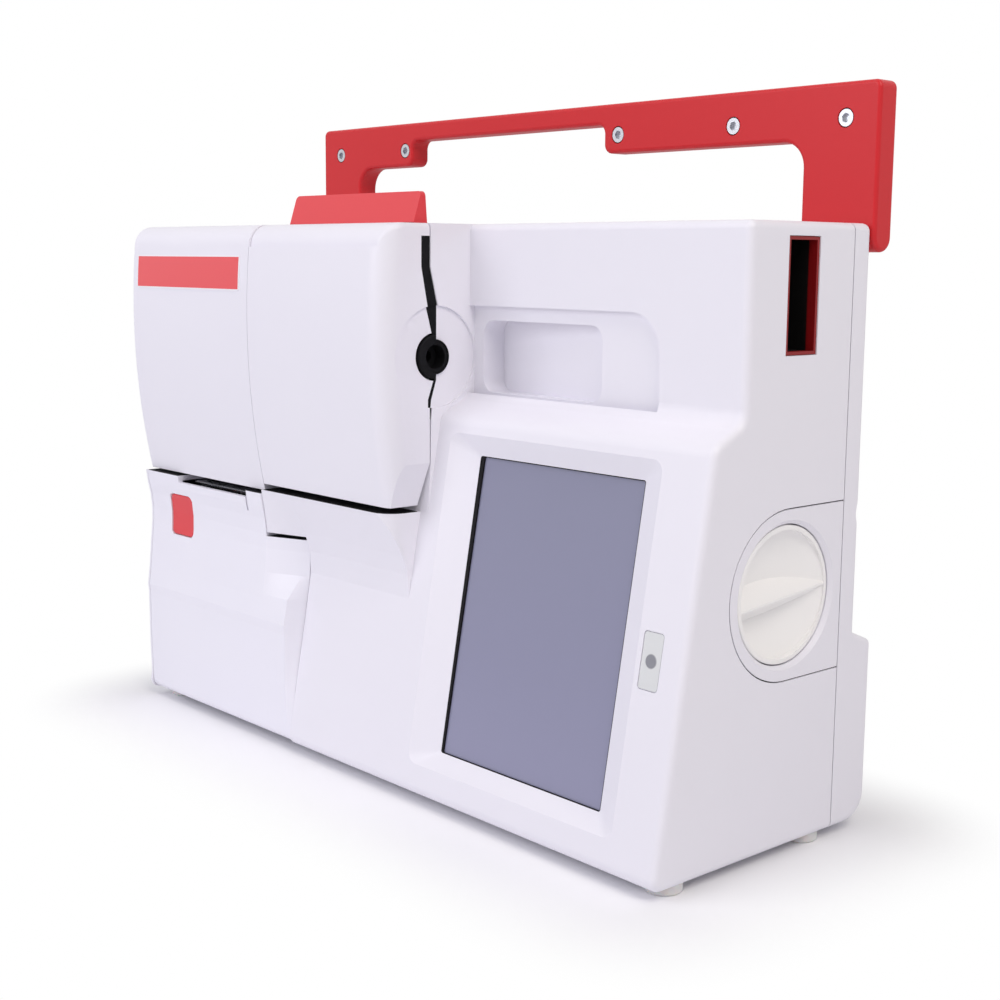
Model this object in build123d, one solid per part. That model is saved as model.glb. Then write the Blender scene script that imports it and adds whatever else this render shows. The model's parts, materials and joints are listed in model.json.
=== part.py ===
from build123d import *
import os
from math import atan, cos, radians, sin, sqrt

os.makedirs("parts", exist_ok=True)

# A bench blood gas analyzer, in millimetres. X runs along the case to the right as the user sees it,
# Y runs to the back and Z up from the table. The origin is under the middle of the case.

# Case
case_width = 350.0
case_top = 236.5
foot_height = 4.0
wall = 2.8
edge_round = 3.0
front_upper_y = -17.6      # upright front above the ledge
ledge_inner_z = 166.5      # where the ledge meets the upright front
nose_y = -32.8             # front edge of the ledge
nose_z = 158.8
toe_y = -58.7              # foot of the sloped front
toe_z = 8.5
ledge_round = 7.0
base_round = 4.5
seam_y = 41.5              # rear edge of the front shell
seam_gap = 0.5
rear_depth = 11.0          # upper half of the rear cover
rear_swell = 11.5          # how much further the lower half stands out
rear_shoulder_z = 80.8
rear_shoulder_drop = 4.6
rear_base_round = 11.0
rear_notch_r = 7.5
rear_notch_z = 127.8
rear_notch_depth = 2.8
rear_notch_length = 14.0
tongue = 1.4               # rim of the rear cover inside the front shell

# Clearances
slip = 0.3                 # between a moving piece and what it passes
fit = 0.05                 # radial, pin in hole
seam = 0.3                 # between fixed covers

# Upper covers
printer_cover_width = 104.5
chamber_cover_width = 97.5
cover_bow_r = 350.0
cover_front_y = -64.0      # foremost point of the bow
cover_bow_z = 193.5        # height of that point
cover_rear_y = -39.1
block_front_y = -38.6      # front of the case behind the covers
cover_bottom_z = 121.0
printer_cover_bottom_z = 117.9
cover_wall = 2.6
cover_edge_round = 2.5
cover_top_round = 9.5
cover_corner_round = 10.0
lip_top_z = 118.2          # cove of the case under the chamber cover
cover_lean_z = 139.0       # below this the cover's right edge leans in
cover_lean_x = 5.0
cover_hinge_y = -52.5
cover_hinge_z = 125.0
cover_pin_r = 1.2

# Sample port and its dish
port_y = -35.6
port_z = 182.5
port_ring_r = 9.0          # in front, on the cover's side
port_rear_r = 7.2          # behind, on the case's side
port_tube_r = 6.5
port_bore_r = 5.0
port_lumen_r = 2.5
dish_r = 21.0
dish_depth = 1.2

# Release latch
latch_pivot_y = -33.5
latch_pivot_z = 228.5
latch_barrel_r = 3.0
latch_pin_r = 1.0
latch_top_z = 249.4
latch_root_front_y = -42.0
latch_tip_front_y = -38.0
latch_root_thick = 7.0
latch_tip_thick = 2.0
latch_inset_left = 2.1
latch_inset_right = 6.7

# Hand pocket beside the port
pocket_left_gap = 6.0
pocket_inner_width = 69.0
pocket_outer_width = 107.0
pocket_outer_top = 203.3
pocket_outer_depth = 2.6
pocket_inner_low = 167.7
pocket_inner_top = 197.5
pocket_deep = 14.0
pocket_shallow = 6.0

# Display, measured on the sloped front: x along it, s up the slope from its foot
glass_width = 91.0
glass_height = 122.0
glass_right_gap = 34.0     # from the case's right side to the visible glass
glass_low_s = 16.0
glass_depth = 4.5
glass_lap = 3.0            # hidden edge of the glass behind the rim
glass_thick = 2.4
bevel_left = 15.0
bevel_right = 11.0
bevel_low = 7.0
bevel_high = 8.0
rim_thick = 0.8
lcd_thick = 6.0
window_width = 9.0
window_height = 20.5
window_right_gap = 16.0    # from the case's right side to the status window's middle
window_mid_s = 75.3
window_depth = 0.8

# Reader slot in the right side
reader_y = 12.3
reader_width = 18.0
reader_low_z = 189.0
reader_high_z = 231.4
reader_deep = 26.0
reader_wall = 1.2

# Gas bottle bay in the right side
bay_y = 9.1
bay_z = 101.4
bay_r = 32.0               # keyhole plate
bay_rim_r = 28.0
bay_bore_r = 26.5
sleeve_wall = 1.8
sleeve_length = 112.0
collar_length = 6.0
bottle_r = 24.0
bottle_length = 81.5
bottle_neck_r = 9.0
keyhole_gap = 0.5
knob_gap = 0.5
knob_thick = 10.5
knob_recess = 1.6
knob_rim = 1.8
bowl_depth = 8.0           # hollow in the knob, at its deepest point
bowl_edge = 0.8            # the same at its rear edge, where it is shallowest
bowl_shift = 8.0           # how far the deepest point lies in front of the knob's middle
grip_deep = 8.8            # the wedge across the hollow, from its crest to its foot
grip_half = 7.6            # half its width at the foot
grip_crest = 0.4           # half its width at the crest
grip_drop = 1.2            # how far it runs below the middle
grip_turn = 5.7            # its slant, in degrees

# Paper door and the bay behind it
door_right_gap = 21.5      # from the split of the covers to the door's right seam
door_top_z = 116.5
door_low_top_z = 96.6
door_wall = 2.4
door_hinge_y = -53.6
door_hinge_z = 8.6
door_heel_r = 4.2
door_pin_r = 1.0
cheek = 1.4
bay_top_z = 113.0
bay_back_y = -2.0
bay_wall = 1.8
button_size = 20.0
button_left_gap = 20.0
button_mid_z = 96.7
print_width = 48.0
paper_width = 57.0
paper_left_gap = 33.0
paper_roll_r = 22.0
paper_core_r = 8.0
spindle_r = 6.0
paper_y = -27.0
paper_z = 38.0

# Printer
platen_r = 5.0
platen_y = -44.5
platen_z = 102.5
platen_shaft_r = 1.5
gear_module = 0.8
platen_teeth = 18
pinion_teeth = 18
gear_width = 4.0
gear_angle = 40.0          # how far below level the pinion sits
printer_plate = 1.5
motor_r = 8.0
motor_length = 15.0

# Handle
handle_over = 0.5          # each side beyond the case
handle_thick = 11.1
handle_gap = 0.4           # behind the rear cover
handle_top_z = 289.0
handle_bar = 21.0
handle_thin_bar = 8.7
handle_left_arm = 31.3
handle_right_arm = 34.5
handle_thin_left = -100.6
handle_thin_right = 33.5
handle_pivot_z = 231.5
handle_ear = 9.7
handle_ear_r = 4.2
handle_pin_r = 2.5
handle_split = 8.0         # depth of the front half
handle_round = 1.6
handle_screw_r = 3.6
handle_screw_z = 275.7
handle_screw_xs = (-160.4, -106.0, 42.0, 106.0, 160.4)

# Inside and underneath
chassis_y = 6.0
chassis_thick = 2.0
foot_r = 7.0
foot_inset_x = 9.0
foot_front_y = -44.0
foot_rear_y = 34.0
screw_r = 1.5
screw_head_r = 2.8
post_r = 5.0

left = -case_width / 2
right = case_width / 2
split_x = left + printer_cover_width
block_x = split_x + chamber_cover_width
rear_y = seam_y + rear_depth
rear_low_y = rear_y + rear_swell
slope = (nose_y - toe_y) / (nose_z - toe_z)
lean = atan(slope)
floor_z = foot_height + wall


def slope_y(z):
    """Y of the sloped front at height z."""
    return toe_y + (z - toe_z) * slope


def bow_y(z):
    """Y of the upper covers' bowed front at height z."""
    return cover_front_y + cover_bow_r - sqrt(cover_bow_r ** 2 - (z - cover_bow_z) ** 2)


def block(x0, x1, y0, y1, z0, z1):
    """A box between two corners."""
    return Pos((x0 + x1) / 2, (y0 + y1) / 2, (z0 + z1) / 2) * Box(x1 - x0, y1 - y0, z1 - z0)


def rod_x(y, z, r, x0, x1):
    return Pos((x0 + x1) / 2, y, z) * Rot(0, 90, 0) * Cylinder(r, x1 - x0)


def rod_y(x, z, r, y0, y1):
    return Pos(x, (y0 + y1) / 2, z) * Rot(90, 0, 0) * Cylinder(r, y1 - y0)


def rod_z(x, y, r, z0, z1):
    return Pos(x, y, (z0 + z1) / 2) * Cylinder(r, z1 - z0)


def outline(points, radii=None):
    """A closed face through the points, with a radius at each corner."""
    if radii is None:
        return make_face(Polyline(*points, close=True))
    return make_face(FilletPolyline(*points, radius=radii, close=True))


def side_face(x, face):
    """Lay a (Y, Z) outline on the plane at x."""
    return Plane(origin=(x, 0, 0), x_dir=(0, 1, 0), z_dir=(1, 0, 0)) * face


def prism_x(face, x0, x1):
    """Extrude a (Y, Z) outline along X."""
    return extrude(side_face(x0, face), amount=x1 - x0)


def prism_y(face, y0, y1):
    """Extrude an (X, Z) outline along Y."""
    plane = Plane(origin=(0, y1, 0), x_dir=(1, 0, 0), z_dir=(0, -1, 0))
    return extrude(plane * face, amount=y1 - y0)


def prism_z(face, z0, z1):
    """Extrude an (X, Y) outline along Z."""
    return extrude(Plane.XY.offset(z0) * face, amount=z1 - z0)


def plate(x0, x1, z0, z1, radius):
    """A rounded rectangle as an outline."""
    middle = Pos((x0 + x1) / 2, (z0 + z1) / 2)
    return middle * RectangleRounded(x1 - x0, z1 - z0, radius)


def on_slope(depth=0.0):
    """The plane of the sloped front, or one that deep behind it. Its own y runs up the slope."""
    normal = Vector(0, -cos(lean), sin(lean))
    foot = Vector(0, toe_y, toe_z) - normal * depth
    return Plane(origin=foot, x_dir=(1, 0, 0), z_dir=normal)


def slope_block(face, depth0, depth1):
    """Extrude an outline drawn on the slope from one depth behind it to a deeper one."""
    return extrude(on_slope(depth1) * face, amount=depth1 - depth0)


def save(node, shape):
    """Write one node as its own file."""
    if not isinstance(shape, Compound):
        shape = Compound([shape])
    solids = shape.solids()
    export_step(Compound(list(solids)), f"parts/{node}.step")
    print(node, len(solids), "solids", round(sum(s.volume for s in solids)), "mm3")


# Case outlines, seen from the right. The front edge of the case steps back behind the chamber cover.
# Each step is how far behind block_front_y the edge lies, and at what height.
block_steps = ((0.0, 219.0), (4.0, 203.0), (4.0, 173.0), (1.4, 165.0), (0.4, 157.0), (0.2, 139.0))
# The same for the rear edge of the chamber cover, against cover_rear_y.
cover_steps = ((0.0, 231.4), (-4.3, 231.4), (-4.3, 219.0), (-0.9, 202.5), (2.1, 192.0), (3.1, 175.0),
               (3.1, 173.0), (0.2, 165.0), (0.2, 139.0))


def right_outline(rear):
    points = [(rear, foot_height), (rear, case_top), (front_upper_y, case_top),
              (front_upper_y, ledge_inner_z), (nose_y, nose_z), (slope_y(foot_height), foot_height)]
    return outline(points, [0, 0, edge_round, ledge_round, ledge_round, base_round])


def middle_outline(rear):
    points = [(rear, foot_height), (rear, case_top), (block_front_y, case_top)]
    points += [(block_front_y + back, z) for back, z in block_steps]
    points += [(slope_y(lip_top_z), lip_top_z), (slope_y(foot_height), foot_height)]
    return outline(points, [0] * (len(points) - 1) + [base_round])


def left_outline(rear):
    points = [(rear, foot_height), (rear, case_top), (block_front_y, case_top),
              (block_front_y, cover_lean_z), (slope_y(lip_top_z), lip_top_z),
              (slope_y(foot_height), foot_height)]
    return outline(points, [0] * (len(points) - 1) + [base_round])


def hollow_of(make_outline):
    """The space inside a case outline, open at the rear."""
    return offset(make_outline(seam_y + 2 * wall), amount=-wall, kind=Kind.INTERSECTION)


# Front of the paper door along its left end, from its top down: Y and Z
door_left_front = ((-58.3, 116.5), (-57.4, 110.0), (-56.1, 104.5), (-55.4, 97.5), (-55.5, 91.0),
                   (-56.6, 80.0), (-57.7, 68.0), (-58.9, 58.5), (-58.5, 54.0), (-58.4, 28.0))
door_front_y = door_hinge_y - door_heel_r
door_seam_x = split_x + door_right_gap
door_bevel_x = door_seam_x - 3.4
door_step_x = split_x - 0.3
door_left_x = left + cheek + seam
door_right_x = door_seam_x - seam
door_back_y = -41.5

display_x0 = right - glass_right_gap - glass_width
display_x1 = right - glass_right_gap
display_s1 = glass_low_s + glass_height
boss_depth = glass_depth + rim_thick + glass_thick + slip
window_x = right - window_right_gap
latch_x0 = split_x + latch_inset_left
latch_x1 = block_x - latch_inset_right
latch_gap = 0.65
latch_notch_y = -32.5
cover_notch_y = -42.6
lug_thick = 2.8
chamber_x0 = split_x + 12.5
chamber_x1 = block_x - 13.0
chamber_low_z = 140.0
chamber_high_z = 214.0
cover_lugs = ((split_x + 8.5, split_x + 13.5), (block_x - 19.0, block_x - 14.0))
spring_x = (split_x + block_x) / 2
spring_y = -26.5
spring_seat_z = 216.5
shaft_x = (left + split_x) / 2
pump_z = 182.0
post_places = ((left + 7.5, 20.0), (left + 7.5, 128.0), (left + 8.5, 221.0), (right - 7.5, 20.0),
               (right - 7.5, 150.0), (right - 7.5, 181.0), (0.0, 226.0))
foot_places = ((left + foot_inset_x, foot_front_y), (right - foot_inset_x, foot_front_y),
               (left + foot_inset_x, foot_rear_y), (right - foot_inset_x, foot_rear_y))


def glass_plate(grow):
    """An outline on the slope around the visible glass."""
    return plate(display_x0 - grow, display_x1 + grow, glass_low_s - grow, display_s1 + grow, 1.0)


def keyhole(grow):
    """Outline of the bottle bay's plate in (Y, Z): a round end, open towards the rear seam."""
    disc = Pos(bay_y, bay_z) * Circle(bay_r + grow)
    rear = seam_y - bay_y
    tail = Pos(bay_y + rear / 2, bay_z) * Rectangle(rear, 2 * (bay_r + grow))
    behind = Pos(seam_y + bay_r, bay_z) * Rectangle(2 * bay_r, 4 * bay_r)
    return disc + tail - behind


def make_front_shell():
    shell = prism_x(left_outline(seam_y), left, split_x)
    shell += prism_x(middle_outline(seam_y), split_x, block_x)
    shell += prism_x(right_outline(seam_y), block_x, right)
    side = [e for e in shell.edges() if abs(e.bounding_box().min.X - right) < 0.01]
    side = [e for e in side if e.bounding_box().min.Y < seam_y - 0.01]
    shell = fillet(side, edge_round)
    side = [e for e in shell.edges() if abs(e.bounding_box().max.X - left) < 0.01]
    side = [e for e in side if e.bounding_box().min.Z > case_top - 0.01]
    shell = fillet(side, edge_round)
    room = prism_x(hollow_of(left_outline), left + wall, split_x)
    room += prism_x(hollow_of(middle_outline), split_x, block_x - wall)
    room += prism_x(hollow_of(right_outline), block_x - wall, right - wall)
    outer = shell
    shell = shell - room

    # Rim that holds the glass
    frame = plate(display_x0 - bevel_left, display_x1 + bevel_right, glass_low_s - bevel_low,
                  display_s1 + bevel_high, 5.0)
    shell += slope_block(frame, wall / 2, boss_depth)
    inner = on_slope(glass_depth) * glass_plate(0.0)
    shell -= loft([on_slope(0.0) * frame, inner], ruled=True)
    shell -= slope_block(glass_plate(0.0), glass_depth - 0.1, boss_depth)
    shell -= slope_block(glass_plate(glass_lap + slip), glass_depth + rim_thick, boss_depth + 1.0)

    # Status window recess
    spot = plate(window_x - window_width / 2 - seam, window_x + window_width / 2 + seam,
                 window_mid_s - window_height / 2 - seam, window_mid_s + window_height / 2 + seam, 1.5)
    shell -= slope_block(spot, -0.1, window_depth)
    shell -= slope_block(Pos(window_x, window_mid_s) * Circle(2.6), 0.0, wall + 1.0)

    # Hand pocket: a shallow outer step and a deeper inner one whose floor rises to the right
    x0 = block_x + pocket_left_gap
    x1 = x0 + pocket_inner_width
    back = block(block_x - wall, block_x + pocket_outer_width + wall, front_upper_y + wall / 2,
                 front_upper_y + pocket_deep + wall, ledge_inner_z - 6.0, pocket_outer_top + wall)
    shell += back & room
    step = plate(block_x - 30.0, block_x + pocket_outer_width, ledge_inner_z - 40.0, pocket_outer_top, 15.0)
    step = prism_y(step, front_upper_y - 1.0, front_upper_y + pocket_outer_depth)
    shell -= step & block(block_x, right, -60.0, 0.0, ledge_inner_z - 1.5, case_top)
    floor = outline([(x0 - 1, front_upper_y - 1), (x1 + 1, front_upper_y - 1),
                     (x1 + 1, front_upper_y + pocket_shallow), (x0 - 1, front_upper_y + pocket_deep)])
    deep = prism_y(plate(x0, x1, pocket_inner_low, pocket_inner_top, 6.0), front_upper_y - 1, 0.0)
    shell -= deep & prism_z(floor, pocket_inner_low - 1, pocket_inner_top + 1)

    # Dish and hole for the sample port
    x0 = block_x - dish_depth
    disc = rod_x(port_y, port_z, dish_r + wall, x0 - wall, block_x)
    shell += disc & outer
    shell -= rod_x(port_y, port_z, dish_r, x0, block_x + 1)
    shell -= rod_x(port_y, port_z, port_rear_r + fit, chamber_x1 - 0.1, block_x)

    # Openings behind the upper covers
    shell -= block(chamber_x0, chamber_x1, -60.0, -28.0, chamber_low_z, chamber_high_z)
    shell -= rod_y(shaft_x, pump_z, 5.0, -60.0, -28.0)

    # Notch and lugs for the release latch, and the seat of its spring
    x0 = latch_x0 - latch_gap
    x1 = latch_x1 + latch_gap
    shell -= block(x0, x1, -60.0, latch_notch_y, chamber_high_z + 7.0, case_top + 1)
    for a, b in ((x0 - lug_thick, x0), (x1, x1 + lug_thick)):
        lug = block(a, b, -36.6, -29.5, latch_pivot_z - 4.0, case_top - wall / 2)
        shell += lug
    shell += block(x1, block_x - wall / 2, -36.0, -29.5, latch_pivot_z - 4.0, case_top - wall / 2)
    shell -= rod_x(latch_pivot_y, latch_pivot_z, latch_pin_r + fit, x0 - lug_thick, x1 + lug_thick)
    shell += block(spring_x - 4.0, spring_x + 4.0, -36.5, spring_y + 4.0, spring_seat_z - 2.4, spring_seat_z)

    # Hinge lugs of the chamber cover, standing out of the case under it
    for a, b in cover_lugs:
        lug = rod_x(cover_hinge_y, cover_hinge_z, 2.4, a, b)
        lug += block(a, b, cover_hinge_y, slope_y(cover_hinge_z) + 1.0, cover_hinge_z - 2.4,
                     cover_hinge_z + 2.4)
        shell += lug
        shell -= rod_x(cover_hinge_y, cover_hinge_z, cover_pin_r + fit, a - 1, b + 1)

    # Cove under the chamber cover
    root_y = slope_y(lip_top_z) + 1.4
    cove = [(root_y, lip_top_z), (-57.2, lip_top_z), (-52.5, 108.0), (-49.0, 100.0), (-46.5, 92.0),
            (slope_y(82.0), 82.0), (slope_y(82.0) + 1.4, 82.0)]
    cove_x1 = block_x - cover_lean_x
    lip = prism_x(outline(cove), door_seam_x, cove_x1)
    corner = plate(door_seam_x - 40.0, cove_x1, -57.2, 0.0, cover_corner_round)
    lip &= prism_z(corner, 80.0, lip_top_z)
    core = block(door_seam_x + 2, cove_x1 - wall, -60, 0, 86, 118)
    lip -= lip.moved(Location((-wall, wall, -wall))) & core
    shell += lip
    near = [(root_y, lip_top_z), (-57.9, lip_top_z), (-56.6, 110.7), (-55.4, 103.0), (-54.9, 98.4),
            (root_y, 98.4)]
    far = [(root_y, lip_top_z), (-57.2, lip_top_z), (-53.7, 110.7), (-50.3, 103.0), (-48.5, 98.4),
           (root_y, 98.4)]
    bridge = loft([side_face(split_x, outline(near)), side_face(door_seam_x, outline(far))], ruled=True)
    core = block(split_x + wall, door_seam_x - 1, -60, 0, 90, 115.4)
    bridge -= bridge.moved(Location((0, wall, 0))) & core

    # Opening for the paper door, left cheek beside it, and the pin seats at its foot
    wide = outline([(-75.0, 0.0), (-75.0, lip_top_z - 0.1), (slope_y(lip_top_z) + 5.0, lip_top_z - 0.1),
                    (door_hinge_y + door_heel_r + slip, 25.0), (door_hinge_y + door_heel_r + slip, 0.0)])
    shell -= prism_x(wide, left + cheek, split_x)
    shell -= prism_x(wide, split_x - 1, door_seam_x) & block(-200, 200, -80, 0, 0, 98.4)
    shell += bridge
    side = list(door_left_front) + [(door_front_y, door_hinge_z), (door_hinge_y, door_hinge_z - door_heel_r),
                                    (door_hinge_y + 8, foot_height + 0.4), (door_hinge_y + 14, 60.0),
                                    (slope_y(116.5) + 1.4, 116.5)]
    shell += prism_x(outline(side), left, left + cheek)
    shell += rod_x(door_hinge_y, door_hinge_z, 3.6, door_seam_x, door_seam_x + 4.0) & outer
    shell -= rod_x(door_hinge_y, door_hinge_z, door_pin_r + fit, left + 0.4, left + 5)
    shell -= rod_x(door_hinge_y, door_hinge_z, door_pin_r + fit, door_seam_x - 1, door_seam_x + 3.5)

    # Bottle bay and reader slot in the right side
    shell -= prism_x(keyhole(keyhole_gap), right - wall - 1, right + 1)
    shell -= block(right - wall - 1, right + 1, reader_y - reader_width / 2, reader_y + reader_width / 2,
                   reader_low_z, reader_high_z)

    # Screw posts towards the rear cover, and the holes for the feet
    for x, z in post_places:
        post = rod_y(x, z, post_r, seam_y - 14.0, seam_y)
        web_x = left + wall / 2 if x < left + 20 else right - wall / 2
        if abs(x) > 20:
            post += block(min(x, web_x), max(x, web_x), seam_y - 14.0, seam_y - 4.0, z - 1.2, z + 1.2)
        else:
            post += block(x - 1.2, x + 1.2, seam_y - 14.0, seam_y - 4.0, z, case_top - wall / 2)
        shell += post & outer
        shell -= rod_y(x, z, screw_r + fit, seam_y - 10.0, seam_y + 1)
    for x, y in foot_places:
        shell -= rod_z(x, y, 2.5 + fit, foot_height - 1, foot_height + 2.7)
    return shell


front_shell = make_front_shell()
save("front_shell", front_shell)


# Rear cover and what is in it
rear_inner_y = rear_y - wall
cover_front = seam_y + seam_gap
pivot_y = rear_y + handle_gap + handle_thick / 2
handle_x0 = left - handle_over
handle_x1 = right + handle_over
arm_x0 = handle_x0 + handle_left_arm
arm_x1 = handle_x1 - handle_right_arm
ear_spans = ((arm_x0 + slip, arm_x0 + slip + handle_ear), (arm_x1 - slip - handle_ear, arm_x1 - slip))
fan_x = left + 85.0
fan_z = 160.0
fan_size = 60.0
fan_deep = 10.0
battery_x0 = -40.0
battery_x1 = 80.0
battery_z0 = 24.0
battery_z1 = 66.0
battery_front_y = 32.0
battery_plate = 1.6
rabbet = 4.0
port_x0 = left + 25.0
port_x1 = left + 105.0
port_z0 = 24.0
port_z1 = 62.0
port_plate = 1.2
# Middle, width and height of each socket
port_sockets = ((port_x0 + 18, 20.0, 9.0), (port_x0 + 42, 14.0, 12.0), (port_x0 + 60, 7.5, 14.0),
                (port_x0 + 71, 7.5, 14.0))
inlet_x = right - 45.0
inlet_z = 40.0
inlet_width = 30.0
inlet_height = 48.0
inlet_sink = 2.4
inlet_rim = 2.5
inlet_flange = 1.4
inlet_deep = 24.0
inlet_y = rear_low_y - inlet_sink
board_x0 = -20.0
board_x1 = right - 19.0
board_z0 = 96.0
board_z1 = 216.0
board_y = 43.0
board_thick = 1.6


def rear_outline(front):
    points = [(front, foot_height), (front, case_top), (rear_y, case_top), (rear_y, rear_shoulder_z),
              (rear_low_y, rear_shoulder_z - rear_shoulder_drop), (rear_low_y, foot_height)]
    return outline(points, [0, 0, edge_round, 1.5, 1.5, rear_base_round])


def rear_face_y(z):
    """How far back the rear cover's outside lies at height z."""
    return rear_y if z > rear_shoulder_z else rear_low_y


def ring(x0, x1, z0, z1, thick):
    """A rectangular ring as an (X, Z) outline."""
    outer = Pos((x0 + x1) / 2, (z0 + z1) / 2) * Rectangle(x1 - x0, z1 - z0)
    inner = Pos((x0 + x1) / 2, (z0 + z1) / 2) * Rectangle(x1 - x0 - 2 * thick, z1 - z0 - 2 * thick)
    return outer - inner


def inlet_block(grow, y0, y1):
    """A block around the power inlet's opening."""
    half = inlet_width / 2 + grow
    high = inlet_height / 2 + grow
    return block(inlet_x - half, inlet_x + half, y0, y1, inlet_z - high, inlet_z + high)


def make_rear_cover():
    cover = prism_x(rear_outline(cover_front), left, right)
    side = [e for e in cover.edges() if e.bounding_box().max.Y > cover_front + 0.01]
    side = [e for e in side if abs(e.center().X) > right - 0.01]
    cover = fillet(side, edge_round)
    outer = cover
    room = offset(rear_outline(cover_front - 2 * wall), amount=-wall, kind=Kind.INTERSECTION)
    cover = cover - prism_x(room, left + wall, right - wall)

    # Rim that locates the cover inside the front shell, cut clear of the posts and the bottle bay
    gap = wall + slip
    rim = prism_y(ring(left + gap, right - gap, foot_height + gap, case_top - gap, tongue),
                  seam_y - 3.5, cover_front + 0.2)
    rim += prism_y(ring(left + 1, right - 1, foot_height + 1, case_top - 1, gap + tongue - 1),
                   cover_front, cover_front + 2.5)
    for x, z in post_places:
        rim -= block(x - post_r - 4, x + post_r + 4, seam_y - 4, seam_y, z - post_r - 0.6, z + post_r + 0.6)
    rim -= block(-post_r, post_r, seam_y - 4, seam_y, case_top - 14, case_top)
    rim -= block(right - 8, right, seam_y - 4, cover_front, bay_z - bay_r - 4, bay_z + bay_r + 4)
    cover += rim

    # Side notches with a thicker wall behind them
    notch_y = rear_y + rear_notch_r - rear_notch_depth
    for x0, x1 in ((left, left + rear_notch_length), (right - rear_notch_length, right)):
        pad = block(x0 - wall, x1 + wall, rear_y - rear_notch_depth - wall, rear_y - 1,
                    rear_notch_z - 10, rear_notch_z + 10)
        cover += pad & outer
        cover -= rod_x(notch_y, rear_notch_z, rear_notch_r, x0 - 0.01, x1 + 0.01)

    # Screw towers, sunk from behind
    for x, z in post_places:
        tower = rod_y(x, z, post_r, seam_y, rear_face_y(z) - 1.0)
        cover += tower
        cover -= rod_y(x, z, screw_head_r + 0.4, seam_y + 4.0, rear_face_y(z) + 1)
        cover -= rod_y(x, z, screw_r + 0.1, seam_y - 1, seam_y + 5)

    # Ears that carry the handle
    for a, b in ear_spans:
        ear = rod_x(pivot_y, handle_pivot_z, handle_ear_r, a, b)
        ear += block(a, b, rear_y - 1, pivot_y, handle_pivot_z - handle_ear_r, handle_pivot_z + handle_ear_r)
        cover += ear
        cover -= rod_x(pivot_y, handle_pivot_z, handle_pin_r + fit, a - 1, b + 1)

    # Fan grille and air slots
    for i in range(-4, 5):
        half = sqrt(26.0 ** 2 - (i * 5.6) ** 2)
        cover -= block(fan_x - half, fan_x + half, rear_y - 5, rear_y + 1, fan_z + i * 5.6 - 1.4,
                       fan_z + i * 5.6 + 1.4)
    for i in range(8):
        x = right - 105.0 + i * 9.0
        cover -= prism_y(plate(x - 1.6, x + 1.6, 186.0, 214.0, 1.5), rear_y - 5, rear_y + 1)

    # Battery opening, port opening and power inlet, each with a rabbet for its plate
    cover -= block(battery_x0, battery_x1, 50, 70, battery_z0, battery_z1)
    cover -= block(battery_x0 - rabbet, battery_x1 + rabbet, rear_low_y - battery_plate, 70,
                   battery_z0 - rabbet, battery_z1 + rabbet)
    cover -= block(port_x0 + 3, port_x1 - 3, 50, 70, port_z0 + 3, port_z1 - 3)
    cover -= block(port_x0, port_x1, rear_low_y - port_plate, 70, port_z0, port_z1)
    cover += inlet_block(inlet_rim + wall, inlet_y - wall, rear_low_y - 1) & outer
    cover -= inlet_block(inlet_rim + seam, inlet_y, rear_low_y + 1)
    cover -= inlet_block(0.0, inlet_y - 2 * wall, rear_low_y + 1)

    # Bosses for the main board
    for x in (board_x0 + 5, board_x1 - 5):
        for z in (board_z0 + 5, board_z1 - 5):
            cover += rod_y(x, z, 3.0, board_y + board_thick, rear_inner_y + 0.5)
            cover -= rod_y(x, z, 1.0, board_y, rear_inner_y - 1)
    return cover


rear_cover = make_rear_cover()
save("rear_cover", rear_cover)


def make_case_screws():
    screws = []
    for x, z in post_places:
        screw = rod_y(x, z, screw_head_r, seam_y + 4.0, seam_y + 6.0)
        screw += rod_y(x, z, screw_r, seam_y - 9.0, seam_y + 4.0)
        screw -= prism_y(Pos(x, z) * RegularPolygon(1.3, 6), seam_y + 4.8, seam_y + 7.0)
        screws.append(screw)
    return Compound(screws)


def make_feet():
    feet = []
    for x, y in foot_places:
        foot = rod_z(x, y, foot_r, 0.0, foot_height)
        foot = chamfer(foot.edges().group_by(Axis.Z)[0], 0.6)
        foot += rod_z(x, y, 2.5, foot_height - 1.0, foot_height + 2.6)
        feet.append(foot)
    return Compound(feet)


save("case_screws", make_case_screws())
save("feet", make_feet())


def make_battery_cover():
    x0 = battery_x0 - rabbet + seam
    x1 = battery_x1 + rabbet - seam
    z0 = battery_z0 - rabbet + seam
    z1 = battery_z1 + rabbet - seam
    cover = block(x0, x1, rear_low_y - battery_plate, rear_low_y, z0, z1)
    middle = (x0 + x1) / 2
    grip = prism_y(plate(middle - 12, middle + 12, z1 - 9, z1 - 4, 2.4), rear_low_y - 0.7, rear_low_y + 1)
    return cover - grip


def make_rear_ports():
    panel = block(port_x0 + seam, port_x1 - seam, rear_low_y - port_plate, rear_low_y, port_z0 + seam,
                  port_z1 - seam)
    z = (port_z0 + port_z1) / 2
    for x, width, height in port_sockets:
        shell = block(x - width / 2 - 1, x + width / 2 + 1, rear_low_y - 14, rear_low_y,
                      z - height / 2 - 1, z + height / 2 + 1)
        panel += shell
        panel -= block(x - width / 2, x + width / 2, rear_low_y - 11, rear_low_y + 1, z - height / 2,
                       z + height / 2)
        panel += block(x - width / 2 + 2, x + width / 2 - 2, rear_low_y - 12, rear_low_y - 3, z - 1, z + 1)
    return panel


rocker_z = inlet_z + inlet_height / 2 - 12.0
rocker_y = inlet_y - 1.5
rocker_half = 8.6


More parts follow.
